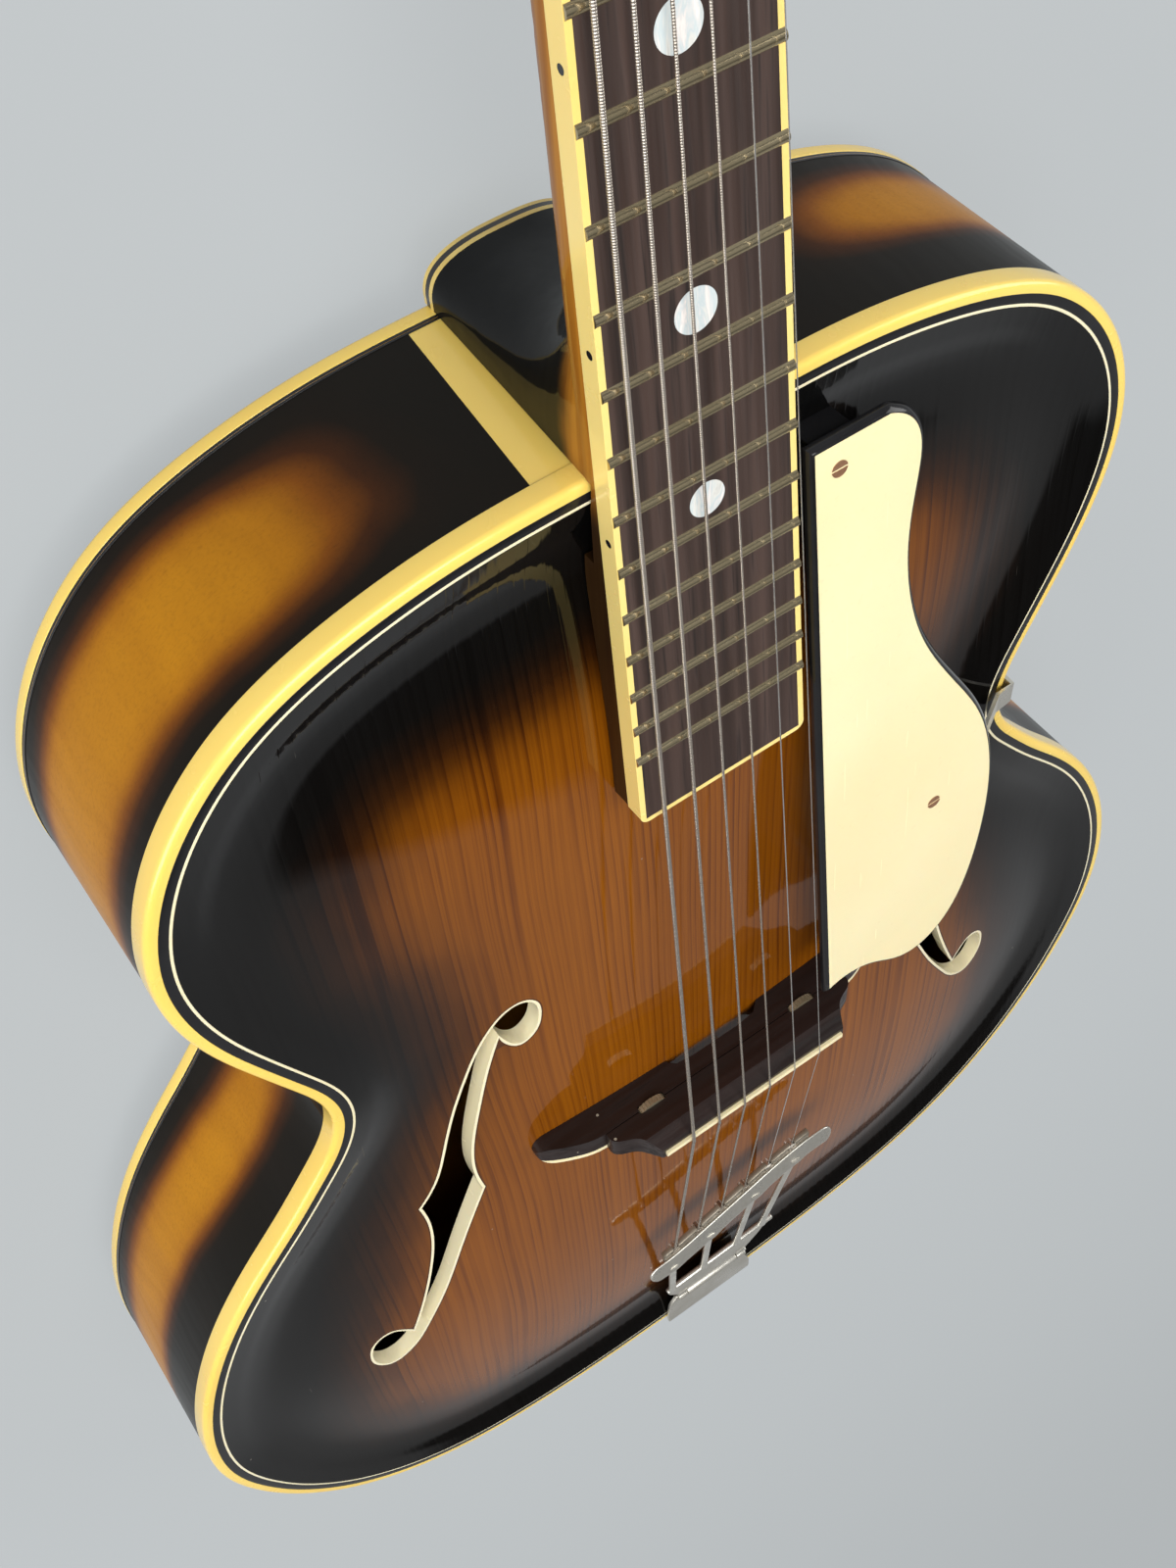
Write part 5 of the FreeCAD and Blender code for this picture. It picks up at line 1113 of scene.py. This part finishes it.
def along(x):
    """Middle line of the string bar in plan."""
    x = np.asarray(x, float)
    i = np.clip(np.searchsorted(bx, x, side="right") - 1, 0, len(bx) - 2)
    h = bx[i + 1] - bx[i]
    t = (x - bx[i]) / h
    return ((2 * t ** 3 - 3 * t ** 2 + 1) * by[i] + (t ** 3 - 2 * t ** 2 + t) * h * bm[i]
            + (-2 * t ** 3 + 3 * t ** 2) * by[i + 1] + (t ** 3 - t ** 2) * h * bm[i + 1])


def strip_sides(xs, wa, wb):
    y = along(xs)
    sl = along(xs + 0.5) - along(xs - 0.5)
    l = np.hypot(1, sl)
    n = np.stack([-sl / l, 1 / l], 1)
    t = np.stack([1 / l, sl / l], 1)
    c = np.stack([xs, y], 1)
    return c + np.reshape(wa, (-1, 1)) * n, c + np.reshape(wb, (-1, 1)) * n, t


def round_cap(pa, pb, tip, m=12):
    c, h = (pa + pb) / 2, (pa - pb) / 2
    a = np.linspace(0, math.pi, m + 2)[1:-1]
    return c + np.cos(a)[:, None] * h + np.sin(a)[:, None] * tip


def stacked(loop, levels):
    """Solid over a plan loop: (inset, z) from the bottom up, closed flat."""
    n = turn_normals(loop)
    return capped([np.column_stack([loop - d * n, np.full(len(loop), z)]) for d, z in levels])


def rod(p, q, section, n=28, flat=1.0):
    """Turned rod from p to q: section lists (millimetres along, radius); flat squeezes it upright."""
    p, q = np.asarray(p, float), np.asarray(q, float)
    d = (q - p) / np.linalg.norm(q - p)
    side = np.cross(d, [0, 0, 1.0])
    side = side / np.linalg.norm(side) if np.linalg.norm(side) > 1e-6 else np.array([1.0, 0, 0])
    up = np.cross(side, d)
    a = 2 * math.pi * np.arange(n) / n
    rings = [p + s * d + r * (np.cos(a)[:, None] * side + flat * np.sin(a)[:, None] * up) for s, r in section]
    return capped(rings)


def domed(length, r, edge=0.6):
    e = min(edge, r * 0.95)
    k = np.linspace(0, math.pi / 2, 5)
    a = [(e - e * math.cos(t), r - e + e * math.sin(t)) for t in k]
    return a + [(length - s, w) for s, w in reversed(a)]


mesh = Mesh()
xs = np.linspace(-34.0, 50.0, 90)
swell = sum(np.exp(-((xs - hi) / 3.4) ** 2) for lo, hi in struts)
sa_, sb_, st_ = strip_sides(xs, np.full(len(xs), 4.4), -4.4 - 1.2 * swell)
loop = np.vstack([sa_, round_cap(sa_[-1], sb_[-1], 4.6 * st_[-1]), sb_[::-1], round_cap(sb_[0], sa_[0], -4.6 * st_[0])])
# the bar's top face slopes down to a rolled edge on the neck side
turn = np.cos(np.linspace(0, math.pi, 14)[1:-1])
side_k = np.concatenate([np.ones(len(sa_)), turn, -np.ones(len(sb_)), -turn])
loop_n = turn_normals(loop)
mesh.add(*capped([np.column_stack([loop - d * loop_n, bar_z + z - tilt * side_k]) for d, z, tilt in (
    (0.9, -1.6, 0.0), (0.25, -1.5, 0.0), (0.0, -1.2, 0.0), (0.0, -0.25, 0.65), (0.1, 0.05, 0.8), (0.3, 0.27, 0.9), (0.6, 0.43, 0.97),
    (1.0, 0.5, 0.95), (1.7, 0.5, 0.78))]))
comb_z0, comb_z1 = bar_z - 3.85, bar_z - 1.55
comb_x = [comb_mid + (2.5 - k) * comb_pitch for k in range(6)]
xs = np.linspace(-30.0, 44.0, 75)
ca_, cb_, ct_ = strip_sides(xs, np.full(len(xs), 9.4), np.full(len(xs), -1.5))
edge_pts = []
for q in ca_[::-1]:
    if all(abs(q[0] - x) > 1.7 for x in comb_x):
        edge_pts.append((q[0], [tuple(q)]))
for x in comb_x:
    yh = float(along(x)) + 6.7
    ye = [float(np.interp(x + s, ca_[:, 0], ca_[:, 1])) for s in (1.2, -1.2)]
    a0 = math.atan2(1.962, 1.2)
    arc_pts = [(x + 2.3 * math.cos(a), yh + 2.3 * math.sin(a)) for a in np.linspace(a0, -math.pi - a0, 20)]
    edge_pts.append((x, [(x + 1.2, ye[0])] + arc_pts + [(x - 1.2, ye[1])]))
edge_pts.sort(key=lambda e: -e[0])
loop = np.array([p for e in edge_pts for p in e[1]] + [tuple(q) for q in cb_])
v, f = stacked(loop, [(0.15, comb_z0), (0.0, comb_z0 + 0.2), (0.0, comb_z1 - 0.3), (0.2, comb_z1)])
mesh.add(v, f, 1)
low_a, low_b = np.array([tail_x - 25.0, low_y - 1.6, low_z]), np.array([tail_x + 35.0, low_y + 2.2, low_z])
mesh.add(*rod(low_a, low_b, domed(float(np.linalg.norm(low_b - low_a)), 1.5, 0.9)))
loop = resample(np.array([(low_a[0] + 2, low_a[1]), (low_b[0] - 2, low_b[1]), (tail_x + 27, low_y - 6), (tail_x + 19.2, hinge_y + 4.4),
                          (tail_x - 19.2, hinge_y + 4.4), (tail_x - 24, low_y - 6)]), 120, True)
mesh.add(*stacked(loop, [(0.3, low_z - 0.9), (0.0, low_z - 0.6), (0.0, low_z + 0.35), (0.25, low_z + 0.6)]))
for sign in (-1, 1):
    x0, x1 = sorted((tail_x + sign * 14.4, tail_x + sign * 19.2))
    loop = resample(np.array([(x0, hinge_y), (x1, hinge_y), (x1, hinge_y + 6.0), (x0, hinge_y + 6.0)]), 64, True)
    mesh.add(*stacked(loop, [(0.2, low_z - 2.4), (0.0, low_z - 2.2), (0.0, low_z + 0.7), (0.25, low_z + 0.9)]))
    mesh.add(*rod((x0, hinge_y, hinge_z), (x1, hinge_y, hinge_z), domed(4.8, roll_r, 0.5), 40))
for lo, hi in struts:
    t = (lo - low_a[0]) / (low_b[0] - low_a[0])
    pa = low_a + t * (low_b - low_a)
    pb = np.array([hi, float(along(hi)) - 1.5, bar_z - 0.4])
    ln_ = float(np.linalg.norm(pb - pa))
    sec = [(u, 1.75 * (1 + 0.45 * math.exp(-(u / 3.2) ** 2) + 0.6 * math.exp(-((ln_ - u) / 5.0) ** 2))) for u in np.linspace(0, ln_, 24)]
    mesh.add(*rod(pa, pb, sec, 24, 0.72))
piece("tailpiece_cast", mesh.verts, mesh.f, ["tailpiece_frame"], [M_nickel, M_comb], index=mesh.i, angle=38)

mesh = Mesh()
mesh.add(*rod((tail_x - 14.1, hinge_y, hinge_z), (tail_x + 14.1, hinge_y, hinge_z), domed(28.2, roll_r, 0.5), 48))
y_face, h_t = -557.75, 1.8
arm_z = hinge_z - roll_r
path = [(hinge_y - u, arm_z + h_t / 2, 0.0, 1.0) for u in (0.0, 2.6, 3.4, 4.4, 5.5, 7.0, 9.0, 12.0, 15.0, 18.0, 22.0, 25.0, 27.5, 28.6)]
bend_r = 1.6
cy, cz = y_face - h_t / 2 + bend_r, arm_z + h_t / 2 - bend_r
for a in np.linspace(0, math.pi / 2, 9):
    path.append((cy - bend_r * math.sin(a), cz + bend_r * math.cos(a), -math.sin(a), math.cos(a)))
for z in (-2.0, -5.0, -9.0, -13.0, -18.0, -26.0, -34.0, -42.0, -48.0, -51.0, -52.6, -53.5, -54.0):
    path.append((y_face - h_t / 2, z, -1.0, 0.0))
run = np.concatenate([[0], np.cumsum([math.hypot(path[i + 1][0] - path[i][0], path[i + 1][1] - path[i][1]) for i in range(len(path) - 1)])])
wl = [(0, 14.1), (2.6, 14.1), (3.6, 16.2), (5.5, 19.3), (8.5, 21.6), (12, 22.9), (22, 24.0), (28, 24.0), (29.4, 23.8), (31, 23.2), (33.5, 22.5), (48.5, 21.6),
      (80, 11.9), (82.6, 10.8), (84.2, 9.3), (85.2, 7.6), (86, 5.0)]
wr = [(0, 14.1), (2.6, 14.1), (4, 15.4), (6.5, 17.6), (10, 19.8), (14, 21.7), (22, 24.0)] + wl[7:]
rings = []
for (py, pz, ny, nz), u in zip(path, run):
    a_, b_ = np.interp(u, *zip(*wl)), np.interp(u, *zip(*wr))
    rr = 0.45
    sec = []
    for sx, w, base_a in ((1, b_, 0), (1, b_, 1), (-1, a_, 2), (-1, a_, 3)):
        # corner order: right outside, right inside, left inside, left outside
        so = 1 if base_a in (0, 3) else -1
        angs = {0: (90, 0), 1: (0, -90), 2: (-90, -180), 3: (180, 90)}[base_a]
        for ang in np.linspace(angs[0], angs[1], 5):
            c, s_ = math.cos(math.radians(ang)), math.sin(math.radians(ang))
            sec.append((sx * (w - rr) + rr * c, so * (h_t / 2 - rr) + rr * s_))
    rings.append(np.array([(tail_x + x, py + o * ny, pz + o * nz) for x, o in sec]))
mesh.add(*capped(rings))
piece("tailpiece_strap", mesh.verts, mesh.f, ["tailpiece_hanger"], [M_nickel], angle=38)

# ------------------------------------------------------------------ camera, light, floor
cam_d = bpy.data.cameras.new("cam")
cam = bpy.data.objects.new("cam", cam_d)
scene.collection.objects.link(cam)
scene.camera = cam
cam_d.sensor_fit = "AUTO"
cam_d.sensor_width = 36.0
cam_d.lens = 36.0 * 1837.9 / 1600.0
cam_d.clip_start = 0.01
R = Matrix(((0.8187020691755359, 0.4940239439604476, -0.2926897072352572),
            (-0.057395139863709504, 0.5775692672584981, 0.8143215209230976),
            (0.5713429091602705, -0.6498877474704737, 0.5012117275563618)))
cam.matrix_world = Matrix.Translation(Vector((-0.1759305, 0.3274190, 0.3336161))) @ R.to_4x4()

world = bpy.data.worlds.new("studio")
scene.world = world
world.use_nodes = True
wt = world.node_tree
bg = wt.nodes["Background"]
tc = wt.nodes.new("ShaderNodeTexCoord")
sep = wt.nodes.new("ShaderNodeSeparateXYZ")
wr = wt.nodes.new("ShaderNodeValToRGB")
wt.links.new(tc.outputs["Generated"], sep.inputs[0])
wt.links.new(sep.outputs[2], wr.inputs["Fac"])
wt.links.new(wr.outputs["Color"], bg.inputs["Color"])
el = wr.color_ramp.elements
sky = ((0.0, (0.34, 0.347, 0.355)), (0.25, (0.33, 0.336, 0.342)), (0.38, (0.25, 0.254, 0.258)), (0.48, (0.26, 0.264, 0.268)),
       (0.585, (0.27, 0.274, 0.278)), (0.63, (0.028, 0.028, 0.029)), (0.77, (0.022, 0.022, 0.023)), (0.84, (0.22, 0.223, 0.227)),
       (0.93, (0.24, 0.243, 0.247)), (1.0, (0.08, 0.08, 0.082)))
while len(el) < len(sky):
    el.new(0.5)
for e, (pos_, c) in zip(el, sky):
    e.position = pos_
    e.color = (*c, 1.0)
bg.inputs["Strength"].default_value = 1.0


def area(name, loc, target, size, power, color=(1, 1, 1)):
    L = bpy.data.lights.new(name, "AREA")
    L.shape = "RECTANGLE"
    L.size, L.size_y = size
    L.energy = power
    L.color = color
    o = bpy.data.objects.new(name, L)
    scene.collection.objects.link(o)
    o.location = loc
    o.rotation_mode = "QUATERNION"
    o.rotation_quaternion = (Vector(target) - Vector(loc)).to_track_quat("-Z", "Y")
    return o


area("key", (-0.55, 0.95, 2.0), (0.0, -0.1, 0.08), (2.0, 1.6), 58.0, (1.0, 0.99, 0.97))
area("left", (-2.3, -0.1, 1.3), (0.0, -0.15, 0.05), (1.6, 1.6), 35.0, (1.0, 0.985, 0.96))
area("right", (2.2, 0.5, 1.5), (0.0, -0.15, 0.05), (1.8, 1.6), 27.0, (1.0, 0.99, 0.98))

fm = Mat("floor_grey", rough=0.8, spec=0.0)
n = fm.noise(fm.mapped((3, 3, 3)), 1.0, 2, 0.5)
fm.color(fm.mix(n, (0.086, 0.092, 0.096), (0.092, 0.098, 0.102)))
fm.b.inputs["Emission Color"].default_value = (0.93, 0.98, 1.0, 1.0)
fm.b.inputs["Emission Strength"].default_value = 0.465
bpy.ops.mesh.primitive_plane_add(size=40)
floor = bpy.context.object
floor.name = "floor"
floor.data.materials.append(fm.m)
floor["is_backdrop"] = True

scene.view_settings.view_transform = "Standard"
scene.view_settings.look = "None"

lo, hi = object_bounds()
